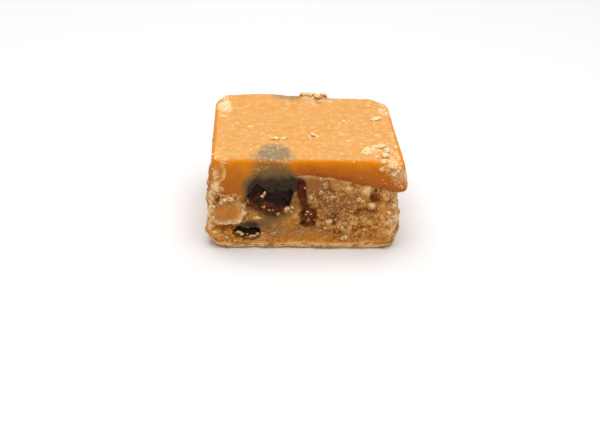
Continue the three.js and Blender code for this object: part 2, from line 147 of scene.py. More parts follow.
# Plates, chips and holes: (u, v, reach along u, reach along v, rise, soft edge as a share of the reach).
# u is x on the front and back and y on the sides, v is z; on the top they are x and y.
MARKS = {
    "front": (
        (-13.4, 7.5, 3.5, 2.6, 0.6, 0.16),
        (-11.2, 6.2, 1.5, 1.0, 0.25, 0.4),
        (-13.2, 4.3, 3.2, 0.8, -0.6, 0.7),
        (-15.9, 14.7, 2.3, 2.6, -0.4, 0.3),
        (11.9, 10.0, 1.5, 1.3, -1.2, 0.7),
        (9.9, 8.0, 1.7, 0.9, -0.8, 0.8),
        (9.6, 4.6, 1.0, 0.7, -0.6, 0.9),
        (13.6, 10.9, 1.1, 1.2, 0.45, 0.6),
        (14.6, 7.6, 1.5, 2.2, 0.3, 0.8),
        (5.2, 7.0, 1.1, 0.7, -0.6, 0.8),
        (3.6, 4.6, 2.6, 1.3, 0.3, 0.9),
        (-5.6, 6.6, 3.4, 1.3, -0.2, 0.9),
    ),
    "right": (
        (-6.5, 8.2, 2.2, 1.3, -0.8, 0.8),
        (1.5, 6.0, 3.2, 2.4, 0.45, 0.3),
        (7.5, 9.2, 1.8, 1.0, -0.7, 0.9),
        (5.4, 3.4, 2.2, 0.9, -0.5, 0.8),
    ),
    "back": (
        (10.4, 7.4, 3.0, 2.4, 0.45, 0.25),
        (4.4, 9.8, 1.9, 1.0, -0.8, 0.8),
        (-8.6, 6.2, 2.2, 1.2, -0.7, 0.8),
        (-13.2, 9.4, 1.8, 1.8, 0.35, 0.4),
        (0.8, 4.2, 2.6, 0.9, -0.45, 0.8),
    ),
    "left": (
        (-6.0, 7.6, 2.4, 2.2, 0.4, 0.3),
        (1.2, 9.0, 1.8, 0.9, -0.7, 0.8),
        (6.8, 5.6, 2.0, 1.2, -0.6, 0.8),
        (-9.2, 3.2, 1.8, 0.8, -0.45, 0.8),
    ),
    "top": (
        (-7.5, 13.5, 12.0, 8.0, 0.75, 0.9),
        (2.6, 11.7, 2.5, 1.3, 0.8, 0.45),
        (0.1, 12.3, 0.9, 0.9, 0.6, 0.6),
        (15.6, -12.2, 5.2, 4.4, -0.75, 0.95),
        (15.4, 12.0, 3.4, 3.4, -0.35, 0.95),
        (-16.2, 10.2, 2.4, 4.0, -0.2, 0.9),
        (-15.6, -10.8, 2.3, 2.6, -0.25, 0.3),
        (-5.6, -9.4, 3.6, 3.6, 0.15, 0.9),
    ),
}

# Fine relief that only the skin has, as (size, rise): rounded grains, lumps between them, and pits in
# those cells whose tone passes PIT_TONE. GRAIN_MEAN is the middle of it all.
GRAINS = ((2.6, 0.26), (1.3, 0.2))
LUMPS = ((1.1, 0.28), (0.5, 0.2))
GRAIN_PITS = (1.9, 0.4)
GRAIN_MEAN = 0.3
PIT_TONE = 0.6
# How steep grains, lumps and pits are, and the height of the lowest grain as a share of the highest.
CAP_STEEP, LUMP_STEEP, PIT_STEEP = 1.6, 2.2, 2.2
LOWEST_CAP = 0.35
# Grains are pale where their cap and their tone pass these pairs.
PALE_GRAINS = {"cap": (0.35, 0.75), "tone": (0.72, 0.86)}
# (size, rise) of the poured top's pin holes and of the nicks in its rim, (length, width, share of the pin
# holes' rise) of its swells, and (length, height, rise) of the knife's level marks on the cut layer.
TOP_PITS = (0.9, 0.035)
RIM_NICKS = (1.1, 0.09)
TOP_SWELLS = (1.7, 0.8, 0.5)
KNIFE_MARKS = (2.6, 0.35, 0.02)
# The least roughness of a smooth plate, the roughness of full frost, and the swing of the roughness.
SMOOTH_FLOOR = 0.15
FROST_ROUGHNESS = 0.5
ROUGH_SWING = {"wave": 3.1, "mean": 0.8, "swing": 0.35}
# The fine relief starts this far above the base, and the crumbly layer over this depth below the ledge.
RELIEF_START = 0.6
LAYER_EDGE = (-0.05, 0.12)
# The painted highlight along the ledge, where the crumbly layer faces up into the light: its depth below it,
# half its width, and the steps at which it shows.
LEDGE_LINE = {"depth": 0.05, "half": 0.1, "steps": (0.1, 0.4)}

# How far the skin is pushed in round bare raisins and round the torn strip, and the (wave, share) by which
# the edges of those hollows wander.
POCKET_DEPTH = 1.25
GROOVE_DEPTH = 0.55
POCKET_RAGS = ((1.1, 0.12), (0.5, 0.06))
POCKET_REACH = {"raisin": (1.26, 1.04), "knot": (1.5, 1.0), "strip": (0.95, 0.45)}
# The bare part of a raisin ends over this height, and its edge wanders this many times more.
BARE_TURN = (0.35, -0.35)
BARE_WANDER = 5
# The film over covered fruit stands out by this share of the raisin, and starts softly.
FILM_SHARE = 0.05
FILM_SOFTNESS = 0.05

# Where the fudge is painted ruddy: juice round the strip and round its knots, and juice with painted shade
# just under each raisin.
JUICE_RAGS = (0.7, 0.5)
JUICE_REACH = {"strip": (1.2, 0.6), "knot": (1.8, 1.1), "raisin": (1.22, 1.0)}
RAISIN_FOOT = (-0.45, -0.85)

# Pale dashes of the top, in layers: length and height of a cell, share of cells, size, strength.
TOP_SPECKS = (
    (4.5, 2.2, 0.4, 0.24, 0.6),
    (2.2, 1.2, 0.45, 0.3, 0.6),
    (1.1, 0.6, 0.4, 0.32, 0.5),
)

# Pale, frosted patches: (u, v, reach along u, reach along v, strength), placed as the marks are. A side
# that such a table leaves out has none.
FROST = {
    "front": (
        (15.9, 15.0, 2.9, 2.6, 0.5),
        (13.6, 16.2, 1.8, 1.0, 0.4),
        (-12.8, 17.1, 3.8, 0.6, 0.3),
        (-16.1, 13.0, 1.6, 3.8, 0.5),
        (-15.2, 11.2, 1.6, 1.6, 0.3),
        (-15.4, 14.8, 2.0, 2.0, 0.25),
        (-13.2, 10.3, 2.6, 0.8, 0.5),
        (-17.0, 6.8, 1.7, 4.2, 0.68),
        (-14.2, 2.2, 2.6, 1.1, 0.15),
        (14.9, 4.4, 1.8, 2.6, 0.55),
        (16.1, 7.4, 1.8, 4.2, 0.6),
        (14.2, 9.4, 1.4, 1.6, 0.4),
        (13.4, 11.5, 1.8, 0.8, 0.45),
        (10.2, 11.8, 1.8, 1.0, 0.55),
        (6.8, 12.4, 1.6, 0.5, 0.3),
        (13.6, 6.0, 1.6, 1.4, 0.3),
        (4.2, 10.8, 2.2, 0.8, 0.35),
        (0.9, 10.2, 1.0, 1.6, 0.4),
        (-9.4, 1.7, 3.0, 0.8, 0.35),
        (6.8, 4.7, 1.6, 1.2, 0.45),
        (-3.6, 5.9, 3.0, 0.7, 0.3),
    ),
    "right": (
        (-11.9, 7.0, 1.7, 4.2, 0.4),
        (-10.5, 13.5, 2.2, 2.6, 0.5),
        (-2.0, 5.0, 4.0, 3.0, 0.35),
        (8.0, 6.0, 3.4, 3.0, 0.35),
    ),
    "back": ((12.5, 6.0, 3.5, 3.5, 0.4), (-11.0, 8.0, 4.0, 3.0, 0.35), (2.6, 15.4, 2.4, 1.0, 0.25)),
    "left": ((-12.0, 7.0, 2.2, 4.8, 0.55), (3.0, 6.5, 4.0, 3.5, 0.35), (9.6, 16.2, 2.4, 1.0, 0.25)),
    "top": (
        (-14.4, 7.8, 1.7, 3.4, 1.15),
        (2.4, 11.2, 2.9, 1.6, 1.0),
        (15.3, 7.6, 1.2, 3.2, 0.8),
        (12.4, -8.2, 2.6, 1.7, 0.4),
        (14.6, -11.2, 1.9, 2.4, 0.5),
        (15.4, -3.4, 0.8, 2.2, 0.5),
        (-15.4, -9.6, 1.1, 2.2, 0.35),
        (13.2, 4.0, 1.1, 0.9, 0.6),
        (7.4, 2.0, 1.3, 0.4, 0.5),
        (1.5, -3.9, 1.3, 0.5, 0.55),
        (-4.6, -5.1, 1.9, 0.35, 0.5),
    ),
}

# ---------------------------------------------------------------- form of the fruit, in millimetres

# A raisin is a ball whose coordinates, to the power BALL_POWER, add up to 1. It is bare below the line
# through the points (x, z) of bare_below. tip turns it, in degrees; folds and fold are its creases and
# their depth.
BALL_POWER = 2.6
RAISINS = {
    "raisin_large": {
        "centre": (-5.9, -9.9, 11.9),
        "half": (4.9, 2.6, 5.2),
        "tip": (-16, 10, 0),
        "folds": 7,
        "fold": 0.15,
        "bare_below": (
            (-10.2, 13.8),
            (-9.2, 13.5),
            (-7.6, 12.1),
            (-6.3, 11.0),
            (-4.3, 10.8),
            (-3.1, 11.7),
            (-1.9, 13.9),
        ),
    },
    "raisin_small": {
        "centre": (-10.0, -11.4, 3.2),
        "half": (2.45, 1.6, 1.25),
        "tip": (10, 9, 0),
        "folds": 5,
        "fold": 0.2,
        "bare_below": ((-12.0, 4.0), (-8.0, 4.2)),
    },
    "raisin_back": {
        "centre": (-2.3, 10.9, 13.3),
        "half": (3.0, 2.2, 2.8),
        "tip": (18, -12, 0),
        "folds": 6,
        "fold": 0.18,
        "bare_below": ((-5.0, 15.2), (0.0, 15.4)),
    },
}
# (waves across a raisin, share of its wrinkle depth) and the depth of each raisin's wrinkles.
WRINKLE_WAVES = ((2.3, 1.0), (4.9, 0.55), (10.0, 0.2))
WRINKLES = {"raisin_large": 0.11, "raisin_small": 0.17, "raisin_back": 0.11, "knot": 0.3}
# (waves, reach) by which the creases wander, and where the skin is thin, from the middle to the lower end.
CREASE_WANDER = (1.7, 1.1)
THIN_END = (-0.45, -0.85)
THIN_WANDER = (2.6, 0.3)

# The torn strip: the points that it runs through, half its width and thickness, the factors of its size
# (second row) at shares of the way along (first row), and the knots at its end.
SHRED_PATH = (
    (-1.0, -12.3, 13.0),
    (-0.85, -12.45, 11.2),
    (-0.6, -12.5, 9.7),
    (-0.05, -12.5, 8.3),
    (0.3, -12.4, 7.2),
    (0.45, -12.35, 6.1),
    (0.4, -12.3, 5.1),
)
SHRED_HALF = (0.48, 0.4)
SHRED_WIDTHS = ((0.0, 0.17, 0.33, 0.5, 0.67, 0.83, 1.0), (1.8, 1.3, 0.65, 0.7, 1.2, 1.1, 1.2))
# How ragged its size is, as (waves round it, waves along it, share, place in the noise), and how it swells
# along its length, as (waves, share).
SHRED_RAGS = ((1.5, 11, 0.5, 7), (3, 27, 0.45, 3))
SHRED_SWELLS = (8, 0.3)
KNOTS = tuple(
    {"centre": centre, "half": half, "tip": (0, 0, 0), "folds": 5, "fold": 0.38}
    for centre, half in (((0.35, -12.3, 7.0), (1.2, 0.75, 1.0)), ((0.45, -12.3, 5.1), (1.1, 0.65, 0.5)))
)

# Where fruit shows dark through the fudge over it: (u, v, reach along u, reach along v, strength).
STAINS = {
    "front": (
        (-9.5, 11.6, 2.3, 3.6, 0.25),
        # This row and the next two darken the fudge below the large raisin: partly fruit showing through,
        # partly painted shade.
        (-5.6, 7.9, 4.8, 2.6, 0.5),
        (-6.6, 4.6, 3.4, 2.0, 0.2),
        (-3.6, 4.6, 4.0, 2.6, 0.24),
        (-10.2, 4.6, 2.6, 1.2, 0.5),
        (-9.2, 5.0, 3.4, 1.7, 0.35),
        (-1.5, 12.9, 1.3, 1.2, 0.9),
    ),
    "back": ((-2.3, 14.0, 3.6, 4.0, 0.8),),
    "top": (
        (-5.6, -9.0, 3.2, 2.9, 0.55),
        (-5.8, -11.8, 4.6, 3.6, 0.55),
        (-2.6, 11.6, 3.6, 2.0, 0.5),
        (2.4, 4.2, 3.2, 3.2, 0.1),
    ),
}
# How much these outlines wander, in place of PATCH_SHARE.
STAIN_SHARE = 0.12

# The film of fudge over the front of the large raisin, which is dark between its left and right edges.
VEIL = np.array(
    [
        # height, left edge, right edge, softness of the left edge, of the right edge, darkness
        (8.5, -8.6, -3.4, 1.4, 0.7, 0.0),
        (10.0, -9.8, -2.6, 1.6, 0.5, 0.7),
        (11.4, -10.0, -2.0, 1.9, 0.4, 1.0),
        (12.6, -9.9, -1.2, 2.0, 0.35, 1.0),
        (13.6, -9.7, -1.1, 2.1, 0.4, 0.96),
        (14.6, -9.5, -1.9, 2.1, 0.9, 0.76),
        (16.0, -9.5, -2.7, 2.1, 1.5, 0.54),
        (18.5, -9.0, -3.0, 2.0, 1.6, 0.46),
    ]
)
# (wave, reach) of its wandering sides, and the share of that by which its rows shift up and down.
VEIL_WANDER = (1.6, 0.6)
VEIL_LIFT = 0.4

# Where the broken layer is painted a deeper orange, as the stains are placed; two rows of it are painted
# shade.
WARM = {
    "front": (
        # Partly painted shade below the plate.
        (-13.5, 3.2, 5.2, 2.8, 1.2),
        (-6.0, 6.6, 6.5, 3.6, 0.7),
        # Painted shade in the groove above the foot.
        (0.0, 1.7, 18.0, 0.8, 0.85),
        (11.0, 4.2, 5.4, 2.4, 0.55),
        (14.6, 6.0, 2.6, 4.4, 0.7),
        (11.9, 9.8, 2.4, 2.0, 0.7),
        (9.4, 8.0, 2.2, 1.2, 0.45),
        (-13.6, 7.2, 2.2, 1.5, 0.5),
    ),
    "right": ((-4.0, 5.0, 6.0, 4.0, 0.8), (8.0, 3.0, 4.0, 2.5, 0.7)),
    "back": ((8.0, 4.0, 6.0, 3.0, 0.8), (-8.0, 8.0, 5.0, 3.0, 0.7)),
    "left": ((6.0, 4.0, 6.0, 3.0, 0.8), (-8.0, 8.0, 4.0, 3.0, 0.7)),
}

# Where the broken layer is glassy and greyish brown, as the stains are placed.
GLASSY = {
    "front": (
        (1.4, 12.4, 4.2, 2.2, 0.9),
        (3.8, 9.2, 5.6, 3.0, 0.9),
        (9.6, 6.4, 2.6, 1.4, 0.8),
        (-12.6, 6.2, 2.2, 1.6, 0.45),
    ),
    "right": ((2.0, 8.6, 5.0, 2.6, 0.8), (-6.0, 3.6, 3.0, 2.0, 0.6)),
    "back": ((2.0, 8.0, 6.0, 3.0, 0.8), (-10.0, 4.6, 3.0, 2.4, 0.6)),
    "left": ((2.0, 8.0, 5.0, 3.0, 0.8),),
}

# Where the side of the smooth layer is cloudy and rosy, as the stains are placed.
ROSY = {
    "front": ((-12.0, 12.6, 3.2, 3.4, 1.0), (11.0, 14.4, 4.6, 1.8, 0.9)),
    "right": ((-7.0, 14.0, 4.0, 2.4, 0.8), (5.0, 15.0, 3.0, 2.0, 0.6)),
    "back": ((9.0, 14.4, 5.0, 2.4, 0.8), (-10.0, 14.6, 3.0, 2.4, 0.6)),
    "left": ((-4.0, 14.0, 4.4, 2.6, 0.8),),
}

# Larger crumbs that are pressed on, as (group, u, v, half sizes), where u and v are the group's axes.
PRESSED_CRUMBS = (
    ("top", 10.1, -9.4, (0.95, 0.85, 0.35)),
    ("top", 11.0, -8.3, (0.7, 0.55, 0.35)),
    ("top", 11.9, -7.4, (1.15, 0.65, 0.4)),
    ("top", 13.0, -7.6, (0.85, 0.7, 0.4)),
    ("top", 13.6, -8.8, (0.6, 1.05, 0.4)),
    ("top", 13.4, -10.4, (0.65, 0.7, 0.35)),
    ("top", 11.7, -10.9, (0.35, 0.3, 0.2)),
    ("top", 12.9, -11.9, (0.55, 0.4, 0.25)),
    ("top", 15.2, -7.5, (0.35, 0.5, 0.25)),
    ("top", 13.0, 3.6, (0.95, 0.6, 0.35)),
    ("top", 12.2, 3.1, (0.4, 0.3, 0.2)),
    ("top", 7.0, 2.2, (0.35, 0.3, 0.15)),
    ("top", 8.0, 2.0, (0.3, 0.25, 0.15)),
    ("top", 1.4, -3.9, (0.75, 0.5, 0.25)),
    ("top", 0.7, -4.5, (0.4, 0.25, 0.15)),
    ("top", -5.2, -5.1, (0.95, 0.45, 0.3)),
    ("top", -3.9, -4.9, (0.95, 0.25, 0.2)),
    ("flake", 0.4, 12.3, (0.6, 0.4, 0.16)),
    ("flake", 1.8, 11.5, (0.8, 0.5, 0.18)),
    ("flake", 3.0, 11.0, (0.7, 0.5, 0.18)),
    ("flake", 4.1, 11.3, (0.6, 0.5, 0.18)),
    ("flake", 3.3, 9.9, (0.5, 0.35, 0.2)),
    ("flake", 1.2, 10.4, (0.35, 0.25, 0.15)),
    ("pale", 12.5, 15.7, (0.4, 0.3, 0.4)),
    ("pale", 14.4, 15.4, (0.6, 0.35, 0.5)),
    ("pale", 15.1, 15.8, (0.45, 0.3, 0.4)),
    ("pale", 13.7, 16.3, (0.4, 0.3, 0.35)),
    ("pale", 14.8, 16.5, (0.5, 0.3, 0.35)),
    ("pale", 15.6, 16.2, (0.35, 0.3, 0.35)),
    ("pale", 15.6, 15.0, (0.3, 0.25, 0.3)),
    ("pale", 13.4, 15.0, (0.2, 0.15, 0.2)),
    ("pale", 12.6, 14.0, (0.12, 0.1, 0.12)),
    ("front", 11.0, 8.9, (0.6, 0.5, 0.55)),
    ("pale", 7.1, 2.0, (0.85, 0.3, 0.4)),
    ("front", 3.8, 5.6, (0.55, 0.4, 0.6)),
    ("front", 2.6, 11.2, (0.4, 0.15, 0.4)),
    ("front", 8.9, 10.2, (0.6, 0.3, 0.55)),
    ("front", 9.7, 9.4, (0.4, 0.3, 0.4)),
    ("front", 14.8, 8.8, (0.6, 0.35, 0.7)),
    ("front", 15.1, 7.0, (0.5, 0.4, 0.6)),
    ("front", 14.0, 7.6, (0.4, 0.3, 0.4)),
    ("pale", 15.6, 8.0, (0.35, 0.3, 0.4)),
    ("pale", 15.9, 5.6, (0.3, 0.3, 0.45)),
    ("pale", 15.3, 9.8, (0.3, 0.25, 0.35)),
    ("pale", -15.9, 8.4, (0.35, 0.3, 0.4)),
    ("pale", -16.1, 6.6, (0.3, 0.3, 0.35)),
    ("pale", -16.2, 4.6, (0.35, 0.3, 0.3)),
    ("pale", 12.2, 4.4, (0.6, 0.2, 0.2)),
    ("pale", 12.9, 4.9, (0.3, 0.2, 0.3)),
    ("pale", 10.4, 3.9, (0.25, 0.2, 0.2)),
    ("front", 3.3, 4.4, (0.3, 0.25, 0.2)),
    ("front", 2.6, 3.6, (0.35, 0.2, 0.2)),
    ("front", 6.9, 5.0, (0.55, 0.35, 0.4)),
    ("front", 6.3, 4.2, (0.35, 0.3, 0.45)),
    ("front", 7.7, 5.4, (0.3, 0.3, 0.35)),
    ("front", 5.7, 3.4, (0.2, 0.2, 0.4)),
    ("front", -3.1, 8.0, (0.45, 0.3, 0.4)),
    ("front", -2.4, 8.4, (0.3, 0.3, 0.3)),
    ("front", -3.6, 7.2, (0.35, 0.3, 0.3)),
    ("front", -2.6, 7.4, (0.35, 0.3, 0.3)),
    ("front", -4.9, 6.9, (0.35, 0.3, 0.3)),
    ("pale", -6.9, 11.1, (0.18, 0.25, 0.45)),
    ("front", -7.4, 10.7, (0.3, 0.2, 0.25)),
    ("front", -7.6, 8.3, (0.3, 0.2, 0.25)),
    ("front", -6.6, 7.5, (0.2, 0.2, 0.22)),
    ("front", -5.8, 7.3, (0.2, 0.2, 0.2)),
    ("pale", -8.3, 6.5, (0.7, 0.25, 0.25)),
    ("pale", -0.2, 12.2, (0.15, 0.15, 0.15)),
    ("pale", 0.2, 7.4, (0.2, 0.12, 0.12)),
    ("pale", -0.1, 7.8, (0.22, 0.12, 0.16)),
    ("pale", 0.8, 7.2, (0.14, 0.1, 0.1)),
    ("pale", 0.4, 6.2, (0.1, 0.1, 0.16)),
    ("front", 2.1, 7.0, (0.2, 0.2, 0.2)),
    ("front", -13.6, 9.9, (0.4, 0.3, 0.35)),
    ("pale", -12.6, 10.2, (0.4, 0.35, 0.4)),
    ("front", -14.4, 9.6, (0.35, 0.3, 0.3)),
    ("front", -10.9, 8.7, (0.35, 0.3, 0.3)),
    ("front", -10.2, 9.0, (0.25, 0.25, 0.25)),
    ("front", -15.4, 3.4, (0.45, 0.3, 0.45)),
    ("front", -14.7, 2.6, (0.5, 0.3, 0.4)),
    ("front", -13.8, 3.0, (0.3, 0.25, 0.25)),
    ("front", -13.4, 2.0, (0.4, 0.3, 0.35)),
    ("front", -12.5, 2.3, (0.35, 0.25, 0.3)),
    ("front", -12.2, 1.6, (0.3, 0.25, 0.25)),
    ("pale", -11.5, 3.3, (0.5, 0.2, 0.22)),
    ("pale", -10.9, 2.7, (0.4, 0.2, 0.2)),
    ("front", -10.2, 1.9, (0.35, 0.25, 0.25)),
    ("front", -8.6, 2.3, (0.4, 0.25, 0.25)),
    ("front", -7.6, 3.1, (0.3, 0.2, 0.22)),
    ("front", -9.4, 1.5, (0.4, 0.2, 0.22)),
    ("pale", -9.3, 2.2, (0.5, 0.22, 0.24)),
    ("pale", -11.9, 2.9, (0.3, 0.2, 0.3)),
    ("pale", -8.2, 2.6, (0.35, 0.2, 0.25)),
    ("front", -9.8, 3.0, (0.2, 0.16, 0.16)),
)

# For each group of pressed crumbs: the axes of u and v, the axis it faces along, which way, and its tone.
PRESSED_GROUPS = {
    "top": ((0, 1), 2, 1, 0.95),
    "flake": ((0, 1), 2, 1, 0.75),
    "front": ((0, 2), 1, -1, 0.25),
    "pale": ((0, 2), 1, -1, 0.45),
}

# Where the broken face is smooth, as on the flat of a plate, as the stains are placed.
SMOOTH = {
    "front": (
        (-13.2, 7.4, 3.4, 2.5, 1.0),
        (0.6, 12.5, 2.6, 1.7, 0.85),
        (5.2, 13.0, 2.4, 0.8, 0.6),
        (-5.2, 5.6, 4.6, 2.6, 0.6),
        (2.0, 2.6, 9.0, 1.3, 0.6),
        (-15.0, 11.5, 2.2, 2.0, 0.4),
    ),
    "right": ((1.2, 5.6, 3.0, 1.8, 0.6), (-6.0, 9.6, 3.0, 1.4, 0.5)),
    "back": ((10.0, 7.0, 2.8, 1.8, 0.6), (-3.0, 3.4, 5.0, 1.6, 0.6)),
    "left": ((-6.4, 7.2, 2.3, 1.7, 0.6), (4.0, 8.8, 3.4, 1.4, 0.5)),
}

# ---------------------------------------------------------------- detail

# Rows of faces in each part of the wall, columns along the sides, and (round, up or along) of each form.
ROWS = {"base_rim": 6, "crumbly": 56, "ledge": 4, "smooth": 28, "top_rim": 9}
COLUMNS = {"across": 208, "deep": 136}
RAISIN_GRID = (192, 128)
SHRED_GRID = (28, 60)
KNOT_GRID = (64, 40)
CRUMB_GRID = (7, 4)
PRESSED_GRID = (28, 16)

# A pressed crumb's place is the outermost point of what is this near to its (u, v).
PRESSED_SEARCH = 0.3
PRESSED_TONES = (-0.2, 0.05)
# How much paler the upper side of a crumb is painted than its middle: painted light from above.
UPPER_SIDE_LIGHT = 0.75
# A crumb's angular form: waves across its radius, and (multiple of them, share of the radius).
CRUMB_WAVE = 1.4
CRUMB_WAVES = ((1.0, 0.45), (2.6, 0.28))
# How freely crumbs turn: a share of a random turn that is added to no turn.
LOOSE_SPIN, PRESSED_SPIN = 4.0, 0.1
# Loose crumbs: what is added to the seed, the largest as a share of the setting, how far they are sunk in
# as a share of their size, and the range of their tones.
SCATTERS = {
    "loose_grains": {"seed": 0, "largest": 1.0, "sink": 0.7, "tones": (0.1, 0.7)},
    "pale_crumbs": {"seed": 1, "largest": 0.8, "sink": 0.45, "tones": (0.55, 1.0)},
}
PRESSED_SEED = 2
# SMALL_POWER makes most of the loose crumbs small, and FLATNESS is the range of their half sizes.
SMALL_POWER = 2.5
FLATNESS = (0.6, 1.0)
# Grains lie above LOWEST_GRAIN, next to none where a stain is strong, and a few where nothing is rough or
# frosted. Dust lies on the frosted edges, with a little all over the top.
LOWEST_GRAIN = 0.8
STAIN_CLEARS = 1.6
FEW = {"rough": 0.1, "frost": 0.25}
DUST = {"top": 0.035, "power": 1.5}

# ---------------------------------------------------------------- camera, in millimetres and degrees

CAMERA_PLACE_MM = (-10.208, -143.456, 88.704)
CAMERA_DOWN, CAMERA_TURN, CAMERA_ROLL = 32.0, -4.02, 2.70
LENS_MM, SENSOR_MM, CLIP_START_MM = 54.0, 36.0, 5.0


# ---------------------------------------------------------------- arithmetic on whole arrays
#
# A plain number added to a place, such as 17 or 3.7, takes another part of the noise or the cells, so that
# two patterns don't repeat each other.


def ease(t):
    """From 0 to 1 with level ends: 3 t squared less 2 t cubed."""
    return t * t * (3 - 2 * t)


def smoothstep(low, high, value):
    """0 at low, 1 at high, with level ends between; low may be the larger one."""
    return ease(np.clip((value - low) / (high - low), 0, 1))


def lattice_value(i, j, k):
    """A value from 0 to 1 for each whole-number place: what is left of a large multiple of a sine."""
    s = np.sin(i * 127.1 + j * 311.7 + k * 74.7) * 43758.5453
    return s - np.floor(s)


def noise(x, y, z):
    """Smooth noise from -1 to 1: lattice values at the eight corners of each unit cell, eased between."""
    x, y, z = np.broadcast_arrays(x, y, z)
    i, j, k = np.floor(x), np.floor(y), np.floor(z)
    u, v, w = ease(x - i), ease(y - j), ease(z - k)

    def along(b, c):
        start = lattice_value(i, j + b, k + c)
        return start + (lattice_value(i + 1, j + b, k + c) - start) * u

    low = along(0, 0) + (along(1, 0) - along(0, 0)) * v
    high = along(0, 1) + (along(1, 1) - along(0, 1)) * v
    return 2 * (low + (high - low) * w) - 1


def grain_cells(places, size):
    """For each place, how far the nearest grain's middle is, in grain sizes, and that grain's tone, 0 to 1.

    One grain lies at a random spot in each cell of a cubic lattice, so the 27 cells around are searched.
    The fractions added to i, j and k keep a cell's four random values apart.
    """
    scaled = places / size
    home = np.floor(scaled)
    nearest = np.full(len(places), np.inf)
    tone = np.zeros(len(places))
    for offset in np.ndindex(3, 3, 3):
        i, j, k = (home + np.array(offset) - 1).T
        middle = np.stack(
            [
                i + lattice_value(i + 0.31, j, k),
                j + lattice_value(i, j + 0.47, k),
                k + lattice_value(i, j, k + 0.59),
            ],
            axis=-1,
        )
        distance = np.linalg.norm(scaled - middle, axis=-1)
        closer = distance < nearest
        nearest = np.where(closer, distance, nearest)
        tone = np.where(closer, lattice_value(i - 0.7, j + 0.2, k), tone)
    return nearest, tone


def turned(degrees):
    """Rotation about z, then y, then x, as a 3 x 3 array that turns row vectors."""
    turn = Matrix.Identity(3)
    for angle, axis in zip(degrees, "XYZ"):
        turn = turn @ Matrix.Rotation(math.radians(angle), 3, axis)
    return np.array(turn).T


# ---------------------------------------------------------------- the block's skin


def ledge_at(at):
    """Height of the ledge, bulge, recess and half height, eased between the rows of LEDGE.

    The height is serrated by noise on a circle, which eight half sides go round once.
    """
    after = np.clip(np.searchsorted(LEDGE[:, 0], at), 1, len(LEDGE) - 1)
    start, end = LEDGE[after - 1], LEDGE[after]
    t = ease(np.clip((at - start[..., 0]) / (end[..., 0] - start[..., 0]), 0, 1))[..., None]
    height, bulge, recess, half = np.moveaxis((start + (end - start) * t)[..., 1:], -1, 0)
    round_about = at * math.pi / 4
    for pitch, rise in LEDGE_SERRATION:
        height = height + rise * noise(pitch * np.cos(round_about), pitch * np.sin(round_about), pitch)
    return height, bulge, recess, half


def outline_at(a, b, sizes):
    """Where points on the edge of the square (a, b), from -1 to 1, lie on the block's rounded outline.

    The square is stretched to the block's plan. A corner point is taken to the corner's arc: from the
    arc's middle, along the line to the point, by the arc's radius. Returns place, normal and the count
    of half sides round the block.
    """
    half = np.array([sizes.width, sizes.depth]) / 2
    front = np.where(a < 0, sizes.front_left, sizes.front_right)
    radius = np.where(b < 0, front, np.where(a < 0, sizes.back_left, sizes.back_right))[..., None]
    full = np.stack([a, b], axis=-1) * half
    inner = np.clip(full, -half + radius, half - radius)
    outward = full - inner
    length = np.linalg.norm(outward, axis=-1, keepdims=True)
    normal = outward / np.where(length == 0, 1, length)
    sides = [(b <= -1) & (a < 1), (a >= 1) & (b < 1), (b >= 1) & (a > -1)]
    at = np.select(sides, [a + 1, b + 3, 5 - a], 7 - b) % 8
    return inner + normal * radius, normal, at


def wall_profile(ledge_height, ledge_half, sizes):
    """Inset, height and slope of each ring of the wall, from the base to the top.

    A quarter circle leads out of the base and another into the top; between them the rings are spread
    evenly from the base to the ledge, across the ledge, and from the ledge to the top.
    """
    flat = np.zeros_like(ledge_height)
    rim_start = sizes.height - sizes.top_rim

    def rim(radius, height, slopes):
        return [
            (flat + radius * (1 - math.cos(slope)), flat + height + radius * math.sin(slope), flat + slope)
            for slope in slopes
        ]

    rings = rim(sizes.base_rim, sizes.base_rim, np.linspace(-math.pi / 2, 0, ROWS["base_rim"] + 1))
    stops = [sizes.base_rim + flat, ledge_height - ledge_half, ledge_height + ledge_half, rim_start + flat]
    for part, start, end in zip(("crumbly", "ledge", "smooth"), stops, stops[1:]):
        rings += [(flat, start + (end - start) * t, flat) for t in np.linspace(0, 1, ROWS[part] + 1)[1:]]
    rings += rim(sizes.top_rim, rim_start, np.linspace(0, math.pi / 2, ROWS["top_rim"] + 1)[1:])
    return (np.stack(part) for part in zip(*rings))


def patches(table, side, u, v, wandering=PATCH_SHARE):
    """Sum of a side's soft-edged patches, full in the middle and 0 past a reach that wanders with noise."""
    total = np.zeros_like(u)
    for mid_u, mid_v, reach_u, reach_v, strength in table.get(side, ()):
        wander = 1 + wandering * noise(u / PATCH_WAVE, v / PATCH_WAVE, mid_u + mid_v)
        reach = np.hypot((u - mid_u) / reach_u, (v - mid_v) / reach_v) / wander
        total += strength * smoothstep(*PATCH_FADE, reach)
    return total


def veil(x, z):
    """How dark the film over the large raisin is: full between its edges, with soft sides that wander."""
    wave, reach = VEIL_WANDER
    shift = reach * noise(x / wave, z / wave, 3.3)
    heights, *rows = VEIL.T
    lifted = z + VEIL_LIFT * shift
    left, right, left_soft, right_soft, dark = (np.interp(lifted, heights, row) for row in rows)
    from_left = smoothstep(-left_soft, left_soft, x + shift - left)
    from_right = smoothstep(-right_soft, right_soft, right - x - shift)
    return from_left * from_right * dark


def fruit_seen(side, u, v):
    """How dark the fruit below shows through the fudge."""
    stain = patches(STAINS, side, u, v, STAIN_SHARE)
    return stain + veil(u, v) if side == "front" else stain


